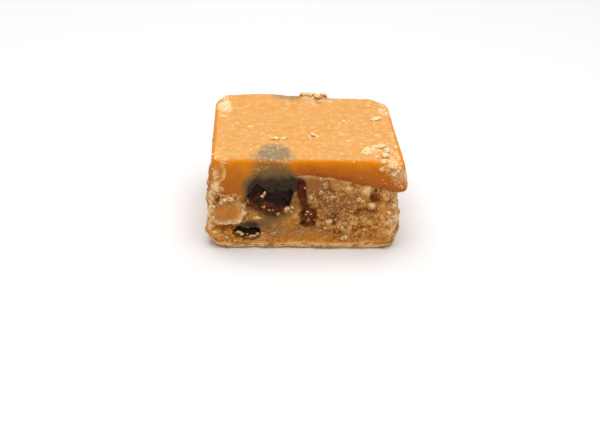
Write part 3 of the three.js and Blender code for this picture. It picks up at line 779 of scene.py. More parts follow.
def mark_shares(side, u, v):
    """For each mark: its rise and soft edge, and its reach, way to the lower right and share at each place.

    The reach is 1 at the mark's ragged outline. The share of the rise is 1 on the mark's plateau and 0
    outside its soft rim.
    """
    serrated = SERRATED_SHARE * noise(u / SERRATED_WAVE, v / SERRATED_WAVE, 7.7)
    for mid_u, mid_v, reach_u, reach_v, rise, edge in MARKS[side]:
        wander = 1 + RAGGED_SHARE * noise(u / RAGGED_WAVE, v / RAGGED_WAVE, mid_u) + serrated
        right, up = (u - mid_u) / reach_u, (v - mid_v) / reach_v
        reach = np.hypot(right, up) / wander
        yield rise, edge, reach, right - up, 1 - smoothstep(1 - edge, 1, reach)


def marks_height(side, u, v):
    """Sum of a side's marks, each a plateau with a soft, ragged rim."""
    return sum((rise * share for rise, *_, share in mark_shares(side, u, v)), np.zeros_like(u))


def lit_plate_rims(side, u, v):
    """Paint for the rims of the plates and chips: pale crust most half way up each rim, and painted highlight
    most at its lower right.
    """
    total = np.zeros_like(u)
    for rise, edge, reach, lower_right, share in mark_shares(side, u, v):
        if edge < CRISP_EDGE:
            band = RIM_BAND["strength"] * smoothstep(*RIM_BAND["reach"], reach) * share
            rim = np.maximum(4 * share * (1 - share), band)
            total += rim * smoothstep(*RIM_BAND["facing"], lower_right) * (1 if rise > 0 else CHIP_RIM)
    return total * (1 if side == "front" else SIDE_RIM)


def hollow_shade(side, u, v):
    """Painted shade: 1 at the bottom of each deeper hole, and a line of painted shadow round each plate."""
    total = np.zeros_like(u)
    for rise, edge, reach, _, share in mark_shares(side, u, v):
        if rise < -DEEP:
            total += HOLLOW_STRENGTH * share
        if rise > 0 and edge < CRISP_EDGE:
            total += PLATE_SHADOW_LINE["strength"] * smoothstep(*PLATE_SHADOW_LINE["reach"], reach) * (1 - share)
    return np.clip(total, 0, 1)


def ledge_highlight(below, ledge):
    """Painted highlight on the ledge where the crumbly layer stands out past the smooth one: a bell round its
    height.
    """
    _, bulge, recess, _ = ledge
    bell = np.exp(-(((below - LEDGE_LINE["depth"]) / LEDGE_LINE["half"]) ** 2))
    return bell * smoothstep(*LEDGE_LINE["steps"], -bulge - recess)


def by_side(normal, topness, place, field):
    """A field of (side, u, v) taken from the side that each place faces, faded where the skin turns."""
    total = 0
    for side, (facing, sign, along) in SIDES.items():
        share = smoothstep(*SIDE_TURN, sign * normal[facing])
        total = total + share * field(side, place[along], place[2]) * (1 - topness)
    return total + field("top", place[0], place[1]) * topness


def end_stretch(x, y, z, sizes):
    """How much the block is stretched along x: a lean that grows downwards, less a round tuck at the base."""
    spread, tuck, tuck_height = (
        np.where(x < 0, ENDS["left"][key], ENDS["right"][key]) for key in ("spread", "tuck", "tuck_height")
    )
    below = np.clip(1 - z / tuck_height, 0, 1)
    drawn_in = tuck * (1 - np.sqrt(1 - below**2))
    lean = spread * (1 - (z / sizes.height) ** 2) * (1 - SPREAD_FADE * (y / sizes.depth + 0.5))
    return 1 + (lean - drawn_in) / (sizes.width / 2)


def foot_relief(x, y, z):
    """A thin lip round the base, whose upper edge wanders with noise, with a groove above it."""
    height = FOOT_LIP["height"] + sum(rise * noise(x / wave, y / wave, wave) for wave, rise in FOOT_WAVES)
    lip_top = smoothstep(height, height - FOOT_LIP["edge"], z)
    groove = np.exp(-(((z - FOOT_GROOVE["height"]) / FOOT_GROOVE["half"]) ** 2))
    return FOOT_LIP["rise"] * lip_top * smoothstep(0, FOOT_LIP["start"], z) - FOOT_GROOVE["depth"] * groove


def layer_step(z, ledge, sizes):
    """The smooth layer's bulge above the ledge, and the crumbly layer's recess below it."""
    height, bulge, recess, half = ledge
    above = z - height
    share = np.clip(above / (sizes.height - height), 0, 1)
    upper = bulge * (1 - share**BULGE_CURVE)
    lower = -recess * np.exp(np.minimum(above, 0) / RECESS_FADE)
    return lower + (upper - lower) * smoothstep(-half, half, above)


def coarse_skin(x, y, z, normal, slope, ledge, sizes):
    """The block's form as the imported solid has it: plain block, stretched ends, layers, waves and marks."""
    x = x * end_stretch(x, y, z, sizes)
    above = z - ledge[0]
    crumbly = smoothstep(*CRUMBLE_FADE["high"], above) * smoothstep(*CRUMBLE_FADE["low"], z)
    waves = sum(rise * noise(x / wave, y / wave, z / wave) for wave, rise in CRUMBLE_WAVES)
    walls = by_side(normal, np.zeros_like(x), (x, y, z), marks_height)
    out = (layer_step(z, ledge, sizes) + crumbly * waves + foot_relief(x, y, z) + walls) * np.cos(slope)
    wave, rise = TOP_ROLL
    roll = rise * noise(x / wave + 3.7, y / wave, 0.5)
    up = (roll + marks_height("top", x, y)) * np.sin(np.maximum(slope, 0))
    return x + normal[0] * out, y + normal[1] * out, z + up


def lump_field(places, lump):
    """1 on the surface of a pressed lump, less inside it and more outside, for places in millimetres."""
    local = (places - np.array(lump["centre"])) @ turned(lump["tip"]).T
    share = np.abs(local) / np.array(lump["half"])
    return np.sum(share**BALL_POWER, axis=-1) ** (1 / BALL_POWER)


def juice_and_shade_at(places):
    """How ruddy the fudge is: juice beside the torn strip, and juice with painted shade just under the
    raisins.
    """
    wave, reach = JUICE_RAGS
    ragged = reach * noise(*(places / wave).T)
    juice = smoothstep(*JUICE_REACH["strip"], strip_distance(places) + ragged)
    for knot in KNOTS:
        juice = np.maximum(juice, smoothstep(*JUICE_REACH["knot"], lump_field(places, knot) + ragged))
    for lump in RAISINS.values():
        low = smoothstep(*RAISIN_FOOT, (places[:, 2] - lump["centre"][2]) / lump["half"][2])
        juice = np.maximum(juice, low * smoothstep(*JUICE_REACH["raisin"], lump_field(places, lump)))
    return juice


def strip_distance(places):
    """How far each place is from the line of the torn strip, seen from the front."""
    across = places[:, [0, 2]]
    line = np.array(SHRED_PATH)[:, [0, 2]]
    nearest = np.full(len(places), np.inf)
    for start, end in zip(line[:-1], line[1:]):
        run = end - start
        share = np.clip((across - start) @ run / (run @ run), 0, 1)
        nearest = np.minimum(nearest, np.linalg.norm(across - start - share[:, None] * run, axis=1))
    return np.where(places[:, 1] < 0, nearest, np.inf)


def pocket_depth(places):
    """How far the skin is pushed in where fruit lies bare: round the raisins, the knots and the strip.

    Where a film of fudge still covers a raisin the depth is below zero, so that the skin lies over it. The
    film is half the sum of `under` and its softened size, which is `under` above zero and nothing below.
    """
    ragged = sum(share * noise(*(places / wave).T) for wave, share in POCKET_RAGS)
    depth = np.zeros(len(places))
    for lump in RAISINS.values():
        field = lump_field(places, lump)
        line = np.interp(places[:, 0], *np.array(lump["bare_below"]).T)
        bare = smoothstep(*BARE_TURN, places[:, 2] - line - BARE_WANDER * ragged)
        pushed_in = POCKET_DEPTH * smoothstep(*POCKET_REACH["raisin"], field + ragged) * bare
        under = 1 + FILM_SHARE - field
        film = (1 - bare) * 0.5 * (under + np.hypot(under, FILM_SOFTNESS)) * lump["half"][1]
        depth = depth + pushed_in - np.where(under > -3 * FILM_SOFTNESS, film, 0)
    for knot in KNOTS:
        hollow = GROOVE_DEPTH * smoothstep(*POCKET_REACH["knot"], lump_field(places, knot) + ragged)
        depth = np.maximum(depth, hollow)
    strip = GROOVE_DEPTH * smoothstep(*POCKET_REACH["strip"], strip_distance(places) + ragged)
    return np.where(strip > 0, np.maximum(depth, strip), depth)


def sugar_grains(places):
    """Height of the rounded grains and of the lumps between them, and which of the finest grains are pale.

    Each grain is a round cap, 1 less a multiple of its distance squared, of its own height. The lumps are
    noise folded up at zero. Some cells of a coarser pattern are pits.
    """
    height = np.zeros(len(places))
    for size, rise in GRAINS:
        distance, tone = grain_cells(places, size)
        cap = np.clip(1 - distance**2 * CAP_STEEP, 0, 1)
        height += rise * cap * (LOWEST_CAP + (1 - LOWEST_CAP) * tone)
    pale = smoothstep(*PALE_GRAINS["cap"], cap) * smoothstep(*PALE_GRAINS["tone"], tone)
    for size, rise in LUMPS:
        height += rise * np.minimum(LUMP_STEEP * np.abs(noise(*(places / size + 17).T)), 1)
    size, depth = GRAIN_PITS
    distance, tone = grain_cells(places + 40, size)
    pit = np.clip(1.2 - distance * PIT_STEEP, 0, 1) * (tone > PIT_TONE)
    return height - GRAIN_MEAN - depth * pit, pale


def waxy_relief(places, topness):
    """Height of the poured top's swells and pin holes, the knife's level marks, and the nicks in the rim."""
    x, y, z = places.T
    size, rise = TOP_PITS
    distance, _ = grain_cells(places + 80, size)
    length, width, share = TOP_SWELLS
    swells = share * noise(x / length, y / width, z / width)
    height = rise * (swells - np.clip(1 - distance * PIT_STEEP, 0, 1))
    length, level, rise = KNIFE_MARKS
    height += (1 - topness) * rise * noise(x / length, y / length, z / level)
    wave, rise = RIM_NICKS
    return height + 4 * topness * (1 - topness) * rise * noise(x / wave, y / wave, z / wave)


def fine_relief(places, normal, topness, crumbly, frost):
    """Height of the fine relief, and its painted fields.

    The crumbly layer gets the whole of the grains, a frosted patch some, and a smooth plate and the poured
    top next to none.
    """
    flats = by_side(normal, topness, places.T, partial(patches, SMOOTH))
    x, y, z = places.T / ROUGH_SWING["wave"]
    swing = ROUGH_SWING["mean"] + ROUGH_SWING["swing"] * noise(x, y, z + 9)
    rough = crumbly * np.clip(1 - flats, SMOOTH_FLOOR, 1) * swing
    rough = np.maximum(rough, FROST_ROUGHNESS * np.clip(frost, 0, 1))
    grains, pale = sugar_grains(places)
    fields = {
        "relief": np.clip(0.5 + grains * np.minimum(1.2 * rough, 1), 0, 1),
        "pale": pale * rough,
        "rough": rough,
        "flat": np.clip(flats, 0, 1) * crumbly,
    }
    return rough * grains + (1 - rough) * waxy_relief(places, topness), fields


# The painted fields that are given side by side.
SIDE_PAINTS = {
    "plate": lit_plate_rims,
    "hollow": hollow_shade,
    "warm": partial(patches, WARM),
    "rosy": partial(patches, ROSY),
    "glassy": partial(patches, GLASSY),
}


def make_skin(sizes):
    """The block's skin on a grid: quads, places in millimetres and the painted fields of each vertex.

    The wall is rings of columns carried up the profile. The top is a grid of the square (a, b): each of
    its points lies on the outline in its own direction, drawn in to its share of the way out.
    """
    across, deep = COLUMNS["across"], COLUMNS["deep"]
    along, aside = np.linspace(-1, 1, across + 1), np.linspace(-1, 1, deep + 1)
    ring_a = np.concatenate([along[:-1], np.ones(deep), along[:0:-1], -np.ones(deep)])
    ring_b = np.concatenate([-np.ones(across), aside[:-1], np.ones(across), aside[:0:-1]])
    outline, normal, at = outline_at(ring_a, ring_b, sizes)
    ledge = ledge_at(at)
    inset, z, slope = wall_profile(ledge[0], ledge[3], sizes)
    rings, columns = z.shape
    wall_xy = outline[None] - normal[None] * inset[..., None]

    cap_a, cap_b = np.meshgrid(along[1:-1], aside[1:-1], indexing="ij")
    cap_a, cap_b = cap_a.ravel(), cap_b.ravel()
    share = np.maximum(np.abs(cap_a), np.abs(cap_b))
    safe = np.where(share == 0, 1, share)
    cap_outline, cap_normal, cap_at = outline_at(cap_a / safe, cap_b / safe, sizes)
    cap_xy = (cap_outline - cap_normal * sizes.top_rim) * share[:, None]
    cap_ledge = ledge_at(cap_at)

    def joined(wall, cap, middle=0.0):
        """One value for each vertex: the wall's rings, the top's inner points, the middle of the base."""
        return np.concatenate([np.broadcast_to(wall, (rings, columns)).ravel(), cap, [middle]])

    plain = [joined(wall_xy[..., i], cap_xy[:, i]) for i in (0, 1)]
    plain.append(joined(z, np.full(len(cap_a), sizes.height)))
    normals = np.stack([joined(normal[:, i], cap_normal[:, i]) for i in (0, 1)])
    slopes = joined(slope, np.full(len(cap_a), math.pi / 2), -math.pi / 2)
    ledges = np.stack([joined(ledge[i], cap_ledge[i], 1.0) for i in range(4)])
    places = np.stack(coarse_skin(*plain, normals, slopes, ledges, sizes), axis=-1)

    topness = np.sin(np.maximum(slopes, 0))
    outward = np.stack([normals[0] * np.cos(slopes), normals[1] * np.cos(slopes), np.sin(slopes)], axis=-1)
    below_ledge = ledges[0] - places[:, 2]
    crumbly = smoothstep(*LAYER_EDGE, below_ledge) * (1 - topness)
    frost = by_side(normals, topness, places.T, partial(patches, FROST))
    stain = by_side(normals, topness, places.T, fruit_seen)
    juice = juice_and_shade_at(places)
    height, relief_fields = fine_relief(places, normals, topness, crumbly, frost)
    pocket = pocket_depth(places)
    clear_of_fruit = 1 - np.clip(np.abs(pocket) / POCKET_DEPTH, 0, 1)
    height = height * smoothstep(0, RELIEF_START, places[:, 2]) * clear_of_fruit - pocket
    places = places + outward * height[:, None]

    x, y, z = places.T
    wave, rise = FOOT_PAINT["wave"], FOOT_PAINT["rise"]
    fields = {
        "crumbly": crumbly,
        "upper": topness,
        "drop": np.clip((sizes.height - z) / (sizes.height - ledges[0]), 0, 1) * (1 - topness),
        "frost": frost,
        **relief_fields,
        "edge": ledge_highlight(below_ledge, ledges),
        "stain": np.clip(stain, 0, 1),
        "ruddy": juice,
        "foot": smoothstep(*FOOT_PAINT["ends"], z + rise * noise(x / wave, y / wave, 2.0)),
        **{name: by_side(normals, topness, places.T, paint) for name, paint in SIDE_PAINTS.items()},
    }
    return places, skin_faces(rings, columns, across, deep), fields


def skin_faces(rings, columns, across, deep):
    """Quads of the wall and the top, and the triangles that close the base round a middle vertex."""
    wall = np.arange(rings * columns).reshape(rings, columns)
    beside = np.roll(wall, -1, axis=1)
    quads = [np.stack([wall[:-1], beside[:-1], beside[1:], wall[1:]], axis=-1).reshape(-1, 4)]
    cap = np.empty((across + 1, deep + 1), int)
    rim = wall[-1]
    cap[:-1, 0] = rim[:across]
    cap[-1, :-1] = rim[across : across + deep]
    cap[:0:-1, -1] = rim[across + deep : 2 * across + deep]
    cap[0, :0:-1] = rim[2 * across + deep :]
    cap[1:-1, 1:-1] = rings * columns + np.arange((across - 1) * (deep - 1)).reshape(across - 1, deep - 1)
    quads.append(np.stack([cap[:-1, :-1], cap[1:, :-1], cap[1:, 1:], cap[:-1, 1:]], axis=-1).reshape(-1, 4))
    middle = rings * columns + (across - 1) * (deep - 1)
    base = np.stack([np.full(columns, middle), beside[0], wall[0]], axis=-1)
    return np.concatenate(quads).tolist() + base.tolist()


# ---------------------------------------------------------------- fruit and crumbs


def globe(around, up):
    """Directions to the points of a globe, rows of longitude closed by a pole at each end, and its faces."""
    longitude = np.arange(around) * 2 * math.pi / around
    latitude = np.linspace(-math.pi / 2, math.pi / 2, up + 1)[1:-1, None]
    level = np.cos(latitude)
    rows = [level * np.cos(longitude), level * np.sin(longitude), np.sin(latitude) + 0 * longitude]
    directions = np.concatenate([np.stack(rows, axis=-1).reshape(-1, 3), [[0, 0, -1], [0, 0, 1]]])
    index = np.arange((up - 1) * around).reshape(up - 1, around)
    beside = np.roll(index, -1, axis=1)
    quads = np.stack([index[:-1], beside[:-1], beside[1:], index[1:]], axis=-1).reshape(-1, 4)
    south, north = len(directions) - 2, len(directions) - 1
    bottom = np.stack([np.full(around, south), beside[0], index[0]], axis=-1)
    top = np.stack([np.full(around, north), index[-1], beside[-1]], axis=-1)
    return directions, quads.tolist() + bottom.tolist() + top.tolist()


def raisin_surface(lump, grid, wrinkle):
    """A pressed lump, drawn in along its creases, and where its skin is thin, which is at its lower end.

    The direction is scaled to a boxy ball, whose coordinates to the power BALL_POWER add up to 1, and then
    to the lump's half sizes. Lengthwise folds are narrow dips of a sine of the longitude; finer wrinkles
    are narrow dips where stretched noise crosses zero.
    """
    directions, faces = globe(*grid)
    x, y, z = directions.T
    boxy = np.sum(np.abs(directions) ** BALL_POWER, axis=-1) ** (-1 / BALL_POWER)
    wave, reach = CREASE_WANDER
    wander = reach * noise(x * wave + lump["centre"][0], y * wave, z * wave)
    crease = (1 - np.abs(np.sin(lump["folds"] * np.arctan2(y, x) / 2 + wander + z))) ** 2 * (1 - z**4)
    size = boxy * (1 - lump["fold"] * crease)
    dent = np.zeros(len(directions))
    for wave, share in WRINKLE_WAVES:
        ridge = 1 - np.abs(noise(x * wave + 5.2, y * wave + lump["centre"][2], z * wave * 0.6))
        dent += wrinkle * share * ridge**5
    places = directions * size[:, None] * np.array(lump["half"]) * (1 - dent)[:, None]
    wave, reach = THIN_WANDER
    thin = smoothstep(*THIN_END, z + reach * noise(x * wave, y * wave, z * wave + 4))
    return places @ turned(lump["tip"]) + np.array(lump["centre"]), faces, {"thin": thin}


def shred_surface():
    """A flat strip of skin carried along a curve through SHRED_PATH, and the crumpled knots at its end.

    The curve is a Catmull-Rom spline: cubics through the points, whose slope at each is half the way from
    the point before to the point after. Each section is an ellipse square to it, whose size wanders with
    noise and draws in to a point at both ends.
    """
    around, along = SHRED_GRID
    knots = np.array(SHRED_PATH)
    padded = np.concatenate([[2 * knots[0] - knots[1]], knots, [2 * knots[-1] - knots[-2]]])
    # The curve ends just short of the last point, where there is no next one to lead to.
    t = np.linspace(0, len(knots) - 1.001, along)
    step = t.astype(int)
    f = (t - step)[:, None]
    p0, p1, p2, p3 = (padded[step + i] for i in range(4))
    square, cube = 2 * p0 - 5 * p1 + 4 * p2 - p3, 3 * p1 - p0 - 3 * p2 + p3
    curve = 0.5 * (2 * p1 + (p2 - p0) * f + square * f**2 + cube * f**3)
    forward = np.gradient(curve, axis=0)
    forward /= np.linalg.norm(forward, axis=1, keepdims=True)
    side = np.cross(forward, [0, -1, 0])
    side /= np.linalg.norm(side, axis=1, keepdims=True)
    out = np.cross(side, forward)
    angle = np.arange(around) * 2 * math.pi / around
    share = np.linspace(0, 1, along)[:, None]
    draw_in = np.sqrt(np.clip(1 - (2 * share - 1) ** 8, 0.001, 1))
    wander = np.ones((along, around))
    for turns, runs, rise, start in SHRED_RAGS:
        wander += rise * noise(turns * np.cos(angle) + start, turns * np.sin(angle), share * runs)
    runs, rise = SHRED_SWELLS
    wander *= np.interp(share, *SHRED_WIDTHS) * (1 + rise * noise(share * runs, 0.4, 2.2))
    width, thickness = SHRED_HALF
    sideways = (width * np.cos(angle) * wander * draw_in)[..., None]
    outwards = (thickness * np.sin(angle) * wander * draw_in)[..., None]
    places = curve[:, None] + side[:, None] * sideways + out[:, None] * outwards
    index = np.arange(along * around).reshape(along, around)
    beside = np.roll(index, -1, axis=1)
    faces = np.stack([index[:-1], index[1:], beside[1:], beside[:-1]], axis=-1).reshape(-1, 4).tolist()
    faces += [index[0].tolist(), index[-1, ::-1].tolist()]
    places = places.reshape(-1, 3)
    fields = [np.repeat(share[:, 0], around)]
    for knot in KNOTS:
        more, more_faces, more_fields = raisin_surface(knot, KNOT_GRID, WRINKLES["knot"])
        faces += [[corner + len(places) for corner in face] for face in more_faces]
        places = np.concatenate([places, more])
        fields.append(0.5 + 0.5 * more_fields["thin"])
    return places, faces, {"thin": np.concatenate(fields)}


def crumb_surfaces(middles, halves, tones, grid, spin, generator):
    """Angular lumps, one round each middle: a globe whose radius wanders with noise.

    Each is turned by a quaternion, which is no turn plus a random draw times `spin`. Its tone rises towards
    its top, because light glows through the upper side.
    """
    directions, faces = globe(*grid)
    count = len(middles)
    shift = generator.uniform(0, 100, (count, 1, 3))
    x, y, z = np.moveaxis(directions[None] * CRUMB_WAVE + shift, -1, 0)
    radius = 1 + sum(share * noise(wave * x, wave * y, wave * z) for wave, share in CRUMB_WAVES)
    axis = np.array([1, 0, 0, 0]) + spin * generator.normal(size=(count, 4))
    w, i, j, k = (axis / np.linalg.norm(axis, axis=1, keepdims=True)).T
    # The quaternion w, i, j, k as the rows of a rotation.
    turn = np.stack(
        [
            np.stack([1 - 2 * (j * j + k * k), 2 * (i * j - k * w), 2 * (i * k + j * w)], axis=-1),
            np.stack([2 * (i * j + k * w), 1 - 2 * (i * i + k * k), 2 * (j * k - i * w)], axis=-1),
            np.stack([2 * (i * k - j * w), 2 * (j * k + i * w), 1 - 2 * (i * i + j * j)], axis=-1),
        ],
        axis=1,
    )
    lumps = directions[None] * radius[..., None] * halves[:, None]
    lumps = np.einsum("nij,nvj->nvi", turn, lumps)
    upness = lumps[..., 2] / np.max(halves, axis=1, keepdims=True)
    tone = (tones[:, None] + UPPER_SIDE_LIGHT * upness).ravel()
    per = len(directions)
    all_faces = [[corner + per * n for corner in face] for n in range(count) for face in faces]
    return (lumps + middles[:, None]).reshape(-1, 3), all_faces, {"tone": tone}


# ---------------------------------------------------------------- meshes


def add_piece(name, surface, material, smooth=True):
    """Makes a mesh object from places in millimetres, faces and painted fields, which rides on the cube."""
    places, faces, fields = surface
    mesh = bpy.data.meshes.new(name)
    mesh.from_pydata((places * MM).tolist(), [], faces)
    for field, values in fields.items():
        attribute = mesh.attributes.new(field, "FLOAT", "POINT")
        attribute.data.foreach_set("value", values.astype(np.float32))
    mesh.materials.append(material)
    if smooth:
        mesh.shade_smooth()
    mesh.update()
    piece = bpy.data.objects.new(name, mesh)
    bpy.context.scene.collection.objects.link(piece)
    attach(piece, BODY)
    return piece


# ---------------------------------------------------------------- materials


# The sockets of a Mix node for colours: its share, the colour below, the one above, and the result.
MIX_SHARE, MIX_BELOW, MIX_ABOVE, MIX_RESULT = 0, 6, 7, 2


class Value:
    """A number of the node tree: + - and * add the nodes for them."""

    def __init__(self, nodes, socket):
        self.nodes, self.socket = nodes, socket

    def __add__(self, other):
        return self.nodes.math("ADD", self, other)

    def __sub__(self, other):
        return self.nodes.math("SUBTRACT", self, other)

    def __rsub__(self, other):
        return self.nodes.math("SUBTRACT", other, self)

    def __mul__(self, other):
        return self.nodes.math("MULTIPLY", self, other)


class Nodes:
    """The node tree of a new material, with short calls for the nodes that the finishes are made of."""

    def __init__(self, name):
        self.material = bpy.data.materials.new(name)
        self.material.use_nodes = True
        self.tree = self.material.node_tree
        self.tree.nodes.clear()
        self.shader = self.add("ShaderNodeBsdfPrincipled")
        output = self.add("ShaderNodeOutputMaterial")
        self.link(self.shader.outputs[0], output.inputs["Surface"])
        self.place = self.add("ShaderNodeTexCoord").outputs["Object"]

    def add(self, kind, **settings):
        """A new node of a kind, with its settings."""
        node = self.tree.nodes.new(kind)
        for setting, value in settings.items():
            setattr(node, setting, value)
        return node

    def link(self, source, socket):
        """Links a Value or a socket, or sets a plain number, vector or colour of three numbers."""
        if isinstance(source, Value):
            source = source.socket
        if isinstance(source, bpy.types.NodeSocket):
            self.tree.links.new(source, socket)
        else:
            socket.default_value = (*source, 1.0) if socket.type == "RGBA" else source

    def set(self, **sockets):
        """Sets the shader's sockets, named with _ for a space."""
        for name, source in sockets.items():
            self.link(source, self.shader.inputs[name.replace("_", " ")])

    def field(self, name):
        """A painted field of the mesh."""
        return Value(self, self.add("ShaderNodeAttribute", attribute_name=name).outputs["Fac"])

    def stretched(self, x, y, z, place=None):
        """The place, scaled along each axis: a number below 1 draws a pattern out along that axis."""
        node = self.add("ShaderNodeMapping")
        self.link(place or self.place, node.inputs["Vector"])
        node.inputs["Scale"].default_value = (x, y, z)
        return node.outputs[0]

    def texture(self, kind, size_mm, place=None):
        """A texture node whose largest blotches or cells are about size_mm across."""
        node = self.add(kind)
        self.link(place or self.place, node.inputs["Vector"])
        node.inputs["Scale"].default_value = 1 / (size_mm * MM)
        return node

    def noise(self, size_mm, detail=4.0, roughness=0.6, place=None):
        """Noise from 0 to 1."""
        node = self.texture("ShaderNodeTexNoise", size_mm, place)
        node.inputs["Detail"].default_value = detail
        node.inputs["Roughness"].default_value = roughness
        return Value(self, node.outputs["Fac"])

    def cells(self, size_mm, output="Distance", place=None):
        """How far the nearest cell's middle is, or that cell's own Color."""
        return Value(self, self.texture("ShaderNodeTexVoronoi", size_mm, place).outputs[output])

    def warped(self, size_mm, reach_mm):
        """The place, shifted by up to reach_mm by noise whose blotches are size_mm across."""
        shift = self.add("ShaderNodeVectorMath", operation="MULTIPLY_ADD")
        self.link(self.texture("ShaderNodeTexNoise", size_mm).outputs["Color"], shift.inputs[0])
        shift.inputs[1].default_value = [reach_mm * MM] * 3
        self.link(self.place, shift.inputs[2])
        return shift.outputs[0]

    def threads(self, size_mm, width, place):
        """Thin winding lines: where noise passes through its middle value."""
        middle = self.math("ABSOLUTE", self.noise(size_mm, 1.0, 0.5, place) - 0.5)
        return self.remap(middle, width, width * 0.25)

    def math(self, operation, a, b=0.0):
        """One step of arithmetic on numbers and Values."""
        node = self.add("ShaderNodeMath", operation=operation)
        self.link(a, node.inputs[0])
        self.link(b, node.inputs[1])
        return Value(self, node.outputs[0])

    def remap(self, value, low, high, start=0.0, end=1.0):
        """Start where value is low, end where it is high, level beyond, and eased between."""
        node = self.add("ShaderNodeMapRange", interpolation_type="SMOOTHSTEP")
        self.link(value, node.inputs["Value"])
        for name, number in (("From Min", low), ("From Max", high), ("To Min", start), ("To Max", end)):
            node.inputs[name].default_value = number
        return Value(self, node.outputs[0])

    def coats(self, colour, *coats):
        """The colour under coats of (share, colour), the last one uppermost. Shares past 1 count as 1."""
        for share, coat in coats:
            node = self.add("ShaderNodeMix", data_type="RGBA")
            for source, index in ((share, MIX_SHARE), (colour, MIX_BELOW), (coat, MIX_ABOVE)):
                self.link(source, node.inputs[index])
            colour = node.outputs[MIX_RESULT]
        return colour

    def bump(self, height, distance_mm, normal=None):
        """A normal bent as if the height from 0 to 1 stood distance_mm high."""
        node = self.add("ShaderNodeBump")
        node.inputs["Distance"].default_value = distance_mm * MM
        self.link(height, node.inputs["Height"])
        if normal is not None:
            self.link(normal, node.inputs["Normal"])
        return node.outputs[0]


def specks(nodes, length_mm, height_mm, share, size):
    """Pale dashes that lie along x: a share of the cells of a stretched pattern, each with its own size."""
    warped = nodes.warped(0.8 * height_mm, 0.5 * height_mm)
    place = nodes.stretched(height_mm / length_mm, 1.0, 1.0, warped)
    own = nodes.remap(nodes.cells(height_mm, "Color", place), 1 - share, 1.0, 0.0, size)
    return nodes.remap(own - nodes.cells(height_mm, place=place), -0.06, 0.1)


def glints(nodes, size_mm, threshold):
    """Painted highlights: small bright points in the middles of those cells of a pattern whose tone passes a
    threshold.
    """
    own = nodes.remap(nodes.cells(size_mm, "Color"), threshold, threshold + 0.06)
    return own * nodes.remap(nodes.cells(size_mm), 0.5, 0.25)


def poured_top(nodes, colours, blotch):
    """The poured top: two tones in blotches, cloudy places, and pale dashes in layers."""
    return nodes.coats(
        colours.top,
        (nodes.remap(blotch, 0.35, 0.65), colours.top_deep),
        (nodes.remap(nodes.noise(1.1, 5.0, 0.6), 0.46, 0.68, 0.0, 0.8), colours.top_pale),
        *((specks(nodes, *dash) * strength, colours.speck) for *dash, strength in TOP_SPECKS),
    )


def cut_layer(nodes, colours, blotch, sugar):
    """The smooth layer's side: painted light glowing under the rim, painted shade darkening downwards, and
    rosy clouds and flecks.
    """
    drop, rosy = nodes.field("drop") + (blotch - 0.5) * 0.4, nodes.field("rosy")
    clouds = nodes.remap(nodes.noise(1.3, 5.0, 0.7), 0.35, 0.6) * rosy
    flecks = specks(nodes, 0.7, 0.45, 0.3, 0.34) * nodes.remap(rosy, 0.0, 0.6, 0.35, 0.8)
    # band_glow is painted light glowing through under the rim; band_shaded is painted shade towards the
    # ledge.
    return nodes.coats(
        colours.band_glow,
        (nodes.remap(drop, 0.12, 0.52), colours.band),
        (nodes.remap(drop, 0.5, 1.0), colours.band_shaded),
        (clouds * 0.7, colours.band_rosy),
        (nodes.remap(sugar, 0.48, 0.72, 0.0, 0.16), colours.top_pale),
        (flecks, colours.top_pale),
    )


def broken_layer(nodes, colours, fine, rough, sparkle):
    """The broken layer: painted shade in its low places, hollows and gaps, pale grains, painted highlights on
    its grain tops and strokes, painted glints, and a pale foot.
    """
    flesh = nodes.coats(
        colours.crumb,
        (nodes.remap(nodes.noise(1.8, 4.0, 0.6), 0.45, 0.65), colours.crumb_grey),
        (nodes.field("flat") * 0.85, colours.crumb_flat),
        (nodes.field("glassy") * 0.9, colours.crumb_grey),
        (nodes.field("warm") * 0.95, colours.crumb_warm),
    )
    relief = nodes.field("relief") + (fine - 0.5) * nodes.remap(rough, 0.0, 0.8, 0.3, 1.5)
    highlight_strokes = nodes.threads(1.0, 0.07, nodes.warped(0.4, 0.4)) * rough
    clusters = nodes.remap(nodes.noise(1.8, 3.0), 0.44, 0.62, 0.1, 1.0)
    sparks = glints(nodes, 0.3, 0.66) * nodes.remap(rough, 0.05, 0.5, 0.3, 0.8)
    strata = nodes.noise(0.5, 4.0, 0.6, nodes.stretched(0.25, 0.25, 1.6))
    # Low relief, hollows and gaps take the pit colour as painted shade; high relief and the strokes are
    # painted highlights; sparkle and sparks are painted glints.
    return nodes.coats(
        colours.pit,
        (nodes.remap(relief, 0.15, 0.55), flesh),
        (nodes.field("hollow") * 0.75, colours.pit),
        (nodes.remap(relief, 0.62, 1.0, 0.0, 0.6), colours.crumb_pale_and_lit),
        (nodes.field("pale") * 0.5, colours.crumb_pale_and_lit),
        (highlight_strokes * nodes.remap(nodes.noise(0.7, 3.0), 0.42, 0.6) * 0.9, colours.crumb_pale_and_lit),
        (nodes.remap(nodes.noise(0.7, 3.0), 0.47, 0.36) * rough * 0.75, colours.pit),
        (sparkle * clusters, colours.sugar_and_glint),
        (sparks * clusters, colours.sugar_and_glint),
        (nodes.field("foot") * nodes.remap(strata, 0.42, 0.52, 0.0, 1.1), colours.foot),
    )


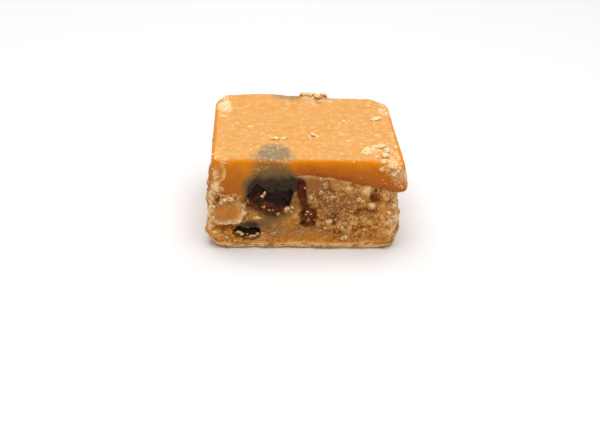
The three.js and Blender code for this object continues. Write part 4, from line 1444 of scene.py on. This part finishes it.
def sugared(nodes, colours, colour, sugar, crumbly, frost, upper):
    """The colour under sugar: a painted highlight along the ledge, rims of plates in crust and painted
    highlight, patches of crust and frost.
    """
    plate = nodes.field("plate")
    # A painted highlight along the ledge, where it faces up into the light.
    line = nodes.field("edge") * nodes.remap(nodes.noise(0.8, 4.0), 0.35, 0.65, 0.0, 0.7)
    # The plate rims: pale crust, with painted highlight strongest at their lower right.
    ragged = plate * nodes.remap(nodes.noise(0.6, 4.0), 0.38, 0.56, 0.35, 1.3)
    wear = frost + plate * 0.2
    uneven = nodes.noise(0.45, 3.0) + nodes.noise(1.6, 3.0) - 1.0
    crusted = wear + uneven * nodes.remap(wear, 0.0, 0.3, 0.3, 2.4)
    tips = crusted + (sugar - 0.5) * 2.4
    return nodes.coats(
        colour,
        (line, colours.edge),
        (ragged, nodes.coats(colours.crust, (crumbly, colours.sugar_and_glint))),
        (nodes.remap(crusted, 0.1, 0.9, 0.0, 0.8), colours.crust),
        (nodes.remap(tips, 0.6, 1.25, 0.0, 0.9), nodes.coats(colours.sugar_and_glint, (upper, colours.frost))),
    )


def over_fruit(nodes, colours, colour, upper, rim):
    """The colour where fruit shows dark through it, with pale fibres near the rim, and juice beside it."""
    stain = nodes.field("stain") * (1 - rim)
    stain = stain + (nodes.noise(1.6, 5.0, 0.65) - 0.5) * (stain * 0.6)
    film = nodes.coats(
        colours.film,
        (nodes.remap(stain, 0.65, 1.0), colours.film_deep),
        (nodes.remap(upper, 0.3, 0.8), colours.film_top),
    )
    high_up = nodes.remap(nodes.field("drop"), 0.55, 0.0)
    near_rim = nodes.math("MAXIMUM", high_up, nodes.remap(upper, 0.2, 0.6))
    fibres = nodes.threads(1.7, 0.045, nodes.warped(1.2, 1.6)) * near_rim
    fibres = fibres * nodes.remap(nodes.noise(2.2, 3.0), 0.4, 0.6, 0.15, 1.0)
    return nodes.coats(
        colour,
        (nodes.remap(stain, 0.05, 0.75, 0.0, 0.95), film),
        (fibres * nodes.remap(stain, 0.1, 0.45, 0.0, 0.75), colours.fibre),
        # Ruddy juice, with painted shade just under each raisin.
        (nodes.field("ruddy") * 0.7, colours.ruddy),
    )


def fudge_material(colours):
    """Fudge: a waxy poured top with pale dashes, a deep orange cut layer and a sugary broken one.

    The band gives way to the top where the skin rounds, along a line that noise makes ragged there.
    """
    nodes = Nodes("sugar_fudge")
    fine, sugar = nodes.noise(0.5, 6.0, 0.65), nodes.noise(0.28, 3.0, 0.6)
    blotch = nodes.noise(3.0, 4.0, 0.55)
    crumbly, frost, upper, rough = (nodes.field(name) for name in ("crumbly", "frost", "upper", "rough"))
    # Painted glints on the broken layer, which also lift the bump a little.
    sparkle = glints(nodes, 0.48, 0.72) * nodes.remap(rough, 0.05, 0.5, 0.1, 0.9)
    rim = upper * (1 - upper) * 0.9
    rounding = upper + (nodes.noise(0.9, 4.0, 0.6) - 0.5) * rim * 3.0
    colour = nodes.coats(
        cut_layer(nodes, colours, blotch, sugar),
        (crumbly, broken_layer(nodes, colours, fine, rough, sparkle)),
        (nodes.remap(rounding, 0.8, 1.0), poured_top(nodes, colours, blotch)),
    )
    colour = sugared(nodes, colours, colour, sugar, crumbly, frost, upper)
    grainy = nodes.math("MAXIMUM", crumbly, frost)
    height = fine * nodes.remap(grainy, 0.0, 1.0, 0.2, 1.0) + sparkle * 0.5
    nodes.set(
        Base_Color=over_fruit(nodes, colours, colour, upper, rim),
        Roughness=nodes.remap(grainy, 0.0, 1.0, 0.42, 0.55),
        Normal=nodes.bump(sugar, 0.1, nodes.bump(height, 0.2)),
        Subsurface_Weight=0.25,
        Subsurface_Radius=(1.0, 0.65, 0.4),
        Subsurface_Scale=0.5 * MM,
        Specular_IOR_Level=0.04,
    )
    return nodes.material


def raisin_material(name, dark, ruddy):
    """Moist fruit skin: near black, and ruddy in blotches and where it is thin."""
    nodes = Nodes(name)
    blotch = nodes.noise(1.3, 4.0, 0.6) + nodes.field("thin") * 0.35
    nodes.set(
        Base_Color=nodes.coats(dark, (nodes.remap(blotch, 0.6, 0.95), ruddy)),
        Roughness=nodes.remap(nodes.noise(0.3, 5.0, 0.6), 0.3, 0.7, 0.12, 0.32),
        Normal=nodes.bump(nodes.noise(0.6, 6.0, 0.65), 0.25),
        Specular_IOR_Level=0.1,
    )
    return nodes.material


def crumb_material(colours):
    """Sugary crumbs, from amber to cream by the tone of each, which holds painted light: paler above, darker
    below.
    """
    nodes = Nodes("crumb")
    tone = nodes.field("tone") + (nodes.noise(0.4, 3.0) - 0.5) * 4.0
    nodes.set(
        Base_Color=nodes.coats(colours.amber, (nodes.remap(tone, 0.0, 0.9), colours.cream)),
        Roughness=0.3,
        Normal=nodes.bump(nodes.noise(0.25, 4.0, 0.6), 0.15),
        Specular_IOR_Level=0.3,
        Subsurface_Weight=0.15,
        Subsurface_Radius=(1.0, 0.9, 0.8),
        Subsurface_Scale=0.2 * MM,
    )
    return nodes.material


def floor_material(colour):
    """A matt pale surface with the faintest unevenness."""
    nodes = Nodes("floor")
    uneven = nodes.remap(nodes.noise(40, 2.0), 0.3, 0.7, 0.0, 0.03)
    nodes.set(Base_Color=nodes.coats(colour, (uneven, (0.8, 0.8, 0.8))), Roughness=0.8)
    return nodes.material


# ---------------------------------------------------------------- settings


def length_property(name, description, default_mm):
    """A length in metres, given in millimetres here."""
    return bpy.props.FloatProperty(
        name=name,
        description=description,
        default=default_mm * MM,
        min=0.0,
        subtype="DISTANCE",
        unit="LENGTH",
    )


def colour_property(name, description, default):
    """A colour as shares of red, green and blue light."""
    return bpy.props.FloatVectorProperty(
        name=name, description=description, default=default, size=3, min=0.0, max=1.0, subtype="COLOR"
    )


class FudgeSizes(bpy.types.PropertyGroup):
    width: length_property("Width", "Left to right, across the top", 32.0)
    depth: length_property("Depth", "Front to back", 25.3)
    height: length_property("Height", "From the base to the poured top", 17.5)
    front_left: length_property("Front left radius", "Radius of the upright edge at the front left", 2.0)
    front_right: length_property("Front right radius", "Radius of the upright edge at the front right", 2.2)
    back_right: length_property("Back right radius", "Radius of the upright edge at the back right", 3.6)
    back_left: length_property("Back left radius", "Radius of the upright edge at the back left", 3.0)
    top_rim: length_property("Top rim radius", "Radius of the edge round the top", 0.8)
    base_rim: length_property("Base rim radius", "Radius of the edge round the base", 0.7)

    def millimetres(self):
        """The sizes as plain numbers of millimetres, under the same names."""
        return SimpleNamespace(**{name: getattr(self, name) / MM for name in self.__annotations__})


class FudgeColours(bpy.types.PropertyGroup):
    top: colour_property("Top", "The poured top", (0.785, 0.376, 0.118))
    top_deep: colour_property("Top, deep", "Blotches of the poured top", (0.76, 0.35, 0.085))
    top_pale: colour_property("Top, pale", "Cloudy places of the poured top", (0.86, 0.50, 0.19))
    speck: colour_property("Specks", "Pale dashes in the poured top", (0.95, 0.75, 0.45))
    band_glow: colour_property("Cut layer, glow", "Where light glows through the rim", (0.86, 0.27, 0.004))
    band: colour_property("Cut layer", "The smooth layer's side", (0.66, 0.165, 0.006))
    # Painted shade: the smooth layer's side darkened towards the ledge.
    band_shaded: colour_property("Cut layer at the ledge", "The foot of the smooth layer", (0.45, 0.115, 0.016))
    crumb: colour_property("Crumb", "The broken layer", (0.55, 0.215, 0.042))
    crumb_grey: colour_property("Crumb, greyish", "Glassy places of the broken layer", (0.34, 0.135, 0.042))
    # Deeper orange places of the broken layer, two of them painted shade.
    crumb_warm: colour_property("Crumb, warm", "Damp places of the broken layer", (0.77, 0.27, 0.022))
    # Pale grains, and painted highlights on the tops of grains and in strokes.
    crumb_pale_and_lit: colour_property("Crumb, pale", "Tops of the broken layer's grains", (0.90, 0.49, 0.165))
    foot: colour_property("Foot", "The thin plate round the base", (1.0, 0.60, 0.24))
    crumb_flat: colour_property("Crumb, flat", "Smooth flats of the broken layer", (0.68, 0.27, 0.06))
    # Painted highlights of sugar crystals, and also the colour of sugar on plate rims and frosted edges.
    sugar_and_glint: colour_property("Glints", "Sugar crystals in the broken layer", (1.0, 0.77, 0.41))
    crust: colour_property("Crust", "Translucent sugar on broken edges", (1.0, 0.58, 0.25))
    # A painted highlight along the ledge, where it faces up into the light.
    edge: colour_property("Ledge line", "The thin line along the ledge", (0.88, 0.60, 0.27))
    band_rosy: colour_property("Cut layer, rosy", "Clouds in the smooth layer's side", (0.54, 0.165, 0.024))
    # Painted light on the crumbs: their upper sides lean to cream and their lower sides to amber.
    amber: colour_property("Crumbs, amber", "The darkest crumbs", (0.66, 0.27, 0.04))
    cream: colour_property("Crumbs, cream", "The palest crumbs", (1.0, 0.73, 0.37))
    frost: colour_property("Frost", "Dry sugar on broken edges", (1.0, 0.79, 0.50))
    # Painted shade: low places, hollows, gaps between grains and the line round each plate take this colour.
    pit: colour_property("Hollow", "The bottoms of holes", (0.29, 0.08, 0.008))
    film: colour_property("Film", "Fudge over a raisin", (0.18, 0.122, 0.053))
    film_deep: colour_property("Film, deep", "The last of the fudge over a raisin", (0.034, 0.029, 0.022))
    film_top: colour_property("Film, top", "The poured top just over a raisin", (0.30, 0.215, 0.135))
    fibre: colour_property("Fibres", "Threads in the film over a raisin", (0.80, 0.50, 0.17))
    # Juice beside the torn skin, and painted shade just under each raisin.
    ruddy: colour_property("Fruit juice", "Fudge beside the torn skin", (0.16, 0.03, 0.008))
    raisin: colour_property("Raisin", "Fruit skin", (0.024, 0.0075, 0.0055))
    raisin_ruddy: colour_property("Raisin, ruddy", "Fruit skin where it is thin", (0.16, 0.03, 0.011))
    shred: colour_property("Torn skin", "The strip of skin below the large raisin", (0.12, 0.021, 0.01))
    shred_ruddy: colour_property("Torn skin, ruddy", "Thin places of the strip", (0.32, 0.075, 0.026))
    floor: colour_property("Floor", "The surface below", (0.90, 0.90, 0.90))


class CrumbSettings(bpy.types.PropertyGroup):
    seed: bpy.props.IntProperty(name="Seed", description="Changes where the crumbs lie", default=11, min=0)
    broken: bpy.props.IntProperty(name="Grains", description="Grains on the broken layer", default=700, min=1)
    dusted: bpy.props.IntProperty(name="Dust", description="Crumbs on top and edges", default=800, min=1)
    largest: length_property("Largest", "Half size of the largest loose crumb", 0.34)
    smallest: length_property("Smallest", "Half size of the smallest loose crumb", 0.1)


class StageSettings(bpy.types.PropertyGroup):
    floor_side: length_property("Floor side", "Length and width of the floor", 1600.0)
    softbox_side: length_property("Softbox side", "Length and width of the light overhead", 420.0)
    softbox_height: length_property("Softbox height", "Height of the light over the floor", 450.0)
    softbox_power: bpy.props.FloatProperty(
        name="Softbox power", description="Power of the light overhead", default=2.1, min=0.0, unit="POWER"
    )
    sky: bpy.props.FloatProperty(
        name="Sky", description="Strength of the light from all round", default=0.36, min=0.0
    )


class FudgeSettings(bpy.types.PropertyGroup):
    sizes: bpy.props.PointerProperty(type=FudgeSizes)
    colours: bpy.props.PointerProperty(type=FudgeColours)
    crumbs: bpy.props.PointerProperty(type=CrumbSettings)
    stage: bpy.props.PointerProperty(type=StageSettings)


# ---------------------------------------------------------------- operators

SKIN = "fudge_skin"


def made_once(name, make, *values):
    """The material of that name, made on first use."""
    return bpy.data.materials.get(name) or make(*values)


class FUDGE_OT_skin(bpy.types.Operator):
    """Adds the block's skin: the poured top, the cut layer and the broken layer"""

    bl_idname = "fudge.skin"
    bl_label = "Add fudge skin"

    def execute(self, context):
        settings = context.scene.fudge
        surface = make_skin(settings.sizes.millimetres())
        skin = add_piece(SKIN, surface, made_once("sugar_fudge", fudge_material, settings.colours))
        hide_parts("fudge_block")
        return {"FINISHED"}


class FUDGE_OT_raisins(bpy.types.Operator):
    """Adds the wrinkled raisins that sit in the fudge"""

    bl_idname = "fudge.raisins"
    bl_label = "Add raisins"

    def execute(self, context):
        colours = context.scene.fudge.colours
        material = made_once("fruit", raisin_material, "fruit", colours.raisin, colours.raisin_ruddy)
        for node, lump in RAISINS.items():
            surface = raisin_surface(lump, RAISIN_GRID, WRINKLES[node])
            raisin = add_piece(node + "_fruit", surface, material)
            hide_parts(node)
        return {"FINISHED"}


class FUDGE_OT_shred(bpy.types.Operator):
    """Adds the torn strip of raisin skin and its knots"""

    bl_idname = "fudge.shred"
    bl_label = "Add torn skin"

    def execute(self, context):
        colours = context.scene.fudge.colours
        material = made_once("torn_fruit", raisin_material, "torn_fruit", colours.shred, colours.shred_ruddy)
        shred = add_piece("raisin_shred_skin", shred_surface(), material)
        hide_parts("raisin_shred")
        return {"FINISHED"}


def read_places(name):
    """The vertices of a finished piece, in millimetres."""
    mesh = bpy.data.objects[name].data
    places = np.empty(3 * len(mesh.vertices), np.float32)
    mesh.vertices.foreach_get("co", places)
    return places.reshape(-1, 3) / MM


def read_skin():
    """Places in millimetres, normals and painted fields of the finished skin."""
    mesh = bpy.data.objects[SKIN].data
    normals = np.empty(3 * len(mesh.vertices), np.float32)
    mesh.vertex_normals.foreach_get("vector", normals)
    fields = {}
    for name in ("crumbly", "upper", "frost", "stain", "rough"):
        fields[name] = np.empty(len(mesh.vertices), np.float32)
        mesh.attributes[name].data.foreach_get("value", fields[name])
    return read_places(SKIN), normals.reshape(-1, 3), fields


def scatter(name, settings, count, weights):
    """Adds crumbs at skin points drawn by weight: mostly small ones, sunk in by a share of their size."""
    kind, crumbs = SCATTERS[name], settings.crumbs
    generator = np.random.default_rng(crumbs.seed + kind["seed"])
    places, normals, _ = read_skin()
    chosen = generator.choice(len(places), size=count, replace=False, p=weights / weights.sum())
    smallest, largest = crumbs.smallest / MM, crumbs.largest / MM * kind["largest"]
    reach = smallest + (largest - smallest) * generator.random((count, 1)) ** SMALL_POWER
    halves = reach * generator.uniform(*FLATNESS, (count, 3))
    middles = places[chosen] - normals[chosen] * reach * kind["sink"]
    tones = generator.uniform(*kind["tones"], count)
    surface = crumb_surfaces(middles, halves, tones, CRUMB_GRID, LOOSE_SPIN, generator)
    add_piece(name, surface, made_once("crumb", crumb_material, settings.colours), smooth=False)


class FUDGE_OT_grains(bpy.types.Operator):
    """Scatters loose grains over the broken layer"""

    bl_idname = "fudge.grains"
    bl_label = "Scatter grains"

    def execute(self, context):
        settings = context.scene.fudge
        places, _, fields = read_skin()
        weights = fields["crumbly"] * np.clip(1 - STAIN_CLEARS * fields["stain"], 0, 1)
        weights = weights * (places[:, 2] > LOWEST_GRAIN)
        weights = weights * (FEW["rough"] + fields["rough"]) * (FEW["frost"] + fields["frost"])
        scatter("loose_grains", settings, settings.crumbs.broken, weights)
        return {"FINISHED"}


class FUDGE_OT_dust(bpy.types.Operator):
    """Scatters pale crumbs over the top and the worn edges"""

    bl_idname = "fudge.dust"
    bl_label = "Scatter pale crumbs"

    def execute(self, context):
        settings = context.scene.fudge
        _, _, fields = read_skin()
        worn = np.clip(fields["frost"], 0, 1) ** DUST["power"]
        weights = (1 - fields["crumbly"]) * (DUST["top"] * fields["upper"] + worn)
        scatter("pale_crumbs", settings, settings.crumbs.dusted, weights)
        return {"FINISHED"}


class FUDGE_OT_pressed(bpy.types.Operator):
    """Adds the larger crumbs that are pressed on the top and the front"""

    bl_idname = "fudge.pressed"
    bl_label = "Add pressed crumbs"

    def execute(self, context):
        settings = context.scene.fudge
        generator = np.random.default_rng(settings.crumbs.seed + PRESSED_SEED)
        bearers = (SKIN, "raisin_large_fruit", "raisin_small_fruit", "raisin_shred_skin")
        places = np.concatenate([read_places(name) for name in bearers])
        middles, tones = [], []
        for group, u, v, _ in PRESSED_CRUMBS:
            plan, facing, sign, tone = PRESSED_GROUPS[group]
            near = np.linalg.norm(places[:, plan] - (u, v), axis=1) < PRESSED_SEARCH
            middles.append(places[np.argmax(np.where(near, sign * places[:, facing], -np.inf))])
            tones.append(tone)
        halves = np.array([half for *_, half in PRESSED_CRUMBS])
        tones = np.array(tones) + generator.uniform(*PRESSED_TONES, len(middles))
        surface = crumb_surfaces(np.array(middles), halves, tones, PRESSED_GRID, PRESSED_SPIN, generator)
        add_piece("pressed_crumbs", surface, made_once("crumb", crumb_material, settings.colours))
        return {"FINISHED"}


def add_camera(scene):
    """The camera, tipped down towards the cube, with a slight turn and roll."""
    camera = bpy.data.objects.new("camera", bpy.data.cameras.new("camera"))
    scene.collection.objects.link(camera)
    camera.data.lens = LENS_MM
    camera.data.sensor_width = SENSOR_MM
    camera.data.clip_start = CLIP_START_MM * MM
    turn = (
        Matrix.Rotation(math.radians(CAMERA_TURN), 4, "Z")
        @ Matrix.Rotation(math.radians(90 - CAMERA_DOWN), 4, "X")
        @ Matrix.Rotation(math.radians(CAMERA_ROLL), 4, "Z")
    )
    camera.matrix_world = Matrix.Translation([length * MM for length in CAMERA_PLACE_MM]) @ turn
    scene.camera = camera


def add_floor(stage, colour):
    """A square sheet under the cube, as a grid of one cell."""
    half = stage.floor_side / 2
    corners = [(-half, -half, 0), (half, -half, 0), (half, half, 0), (-half, half, 0)]
    mesh = bpy.data.meshes.new("floor")
    mesh.from_pydata(corners, [], [(0, 1, 2, 3)])
    mesh.materials.append(floor_material(colour))
    floor = bpy.data.objects.new("floor", mesh)
    bpy.context.scene.collection.objects.link(floor)


def add_softbox(stage):
    """A large square light overhead, which points straight down."""
    light = bpy.data.lights.new("softbox", "AREA")
    light.shape = "SQUARE"
    light.size = stage.softbox_side
    light.energy = stage.softbox_power
    softbox = bpy.data.objects.new("softbox", light)
    softbox.location = (0, 0, stage.softbox_height)
    bpy.context.scene.collection.objects.link(softbox)


def add_sky(scene, strength):
    """Even white light from all round."""
    world = bpy.data.worlds.new("sky")
    world.use_nodes = True
    background = world.node_tree.nodes["Background"]
    background.inputs["Color"].default_value = (1, 1, 1, 1)
    background.inputs["Strength"].default_value = strength
    scene.world = world


class FUDGE_OT_stage(bpy.types.Operator):
    """Adds the pale floor, the soft light overhead and the camera"""

    bl_idname = "fudge.stage"
    bl_label = "Add stage"

    def execute(self, context):
        settings = context.scene.fudge
        add_floor(settings.stage, settings.colours.floor)
        add_softbox(settings.stage)
        add_sky(context.scene, settings.stage.sky)
        add_camera(context.scene)
        context.scene.view_settings.view_transform = "Standard"
        return {"FINISHED"}


class FUDGE_PT_panel(bpy.types.Panel):
    """The settings of each group, and a button for each operator"""

    bl_idname = "FUDGE_PT_panel"
    bl_label = "Raisin fudge cube"
    bl_space_type = "VIEW_3D"
    bl_region_type = "UI"
    bl_category = "Fudge"

    def draw(self, context):
        settings = context.scene.fudge
        for group in (settings.sizes, settings.colours, settings.crumbs, settings.stage):
            box = self.layout.box()
            for name in group.__annotations__:
                box.prop(group, name)
        for operator in OPERATORS:
            self.layout.operator(operator.bl_idname)


# ---------------------------------------------------------------- running

GROUPS = (FudgeSizes, FudgeColours, CrumbSettings, StageSettings, FudgeSettings)
OPERATORS = (
    FUDGE_OT_skin,
    FUDGE_OT_raisins,
    FUDGE_OT_shred,
    FUDGE_OT_grains,
    FUDGE_OT_dust,
    FUDGE_OT_pressed,
    FUDGE_OT_stage,
)
CLASSES = (*GROUPS, *OPERATORS, FUDGE_PT_panel)


def register():
    """Registers the classes, and keeps the settings with the scene."""
    for each in CLASSES:
        bpy.utils.register_class(each)
    bpy.types.Scene.fudge = bpy.props.PointerProperty(type=FudgeSettings)


def unregister():
    """Takes the settings and the classes away again."""
    del bpy.types.Scene.fudge
    for each in reversed(CLASSES):
        bpy.utils.unregister_class(each)


def main():
    """Builds the cube and its stage by the operators, in order."""
    register()
    bpy.ops.fudge.skin()
    bpy.ops.fudge.raisins()
    bpy.ops.fudge.shred()
    bpy.ops.fudge.grains()
    bpy.ops.fudge.dust()
    bpy.ops.fudge.pressed()
    bpy.ops.fudge.stage()


if __name__ == "__main__":
    main()
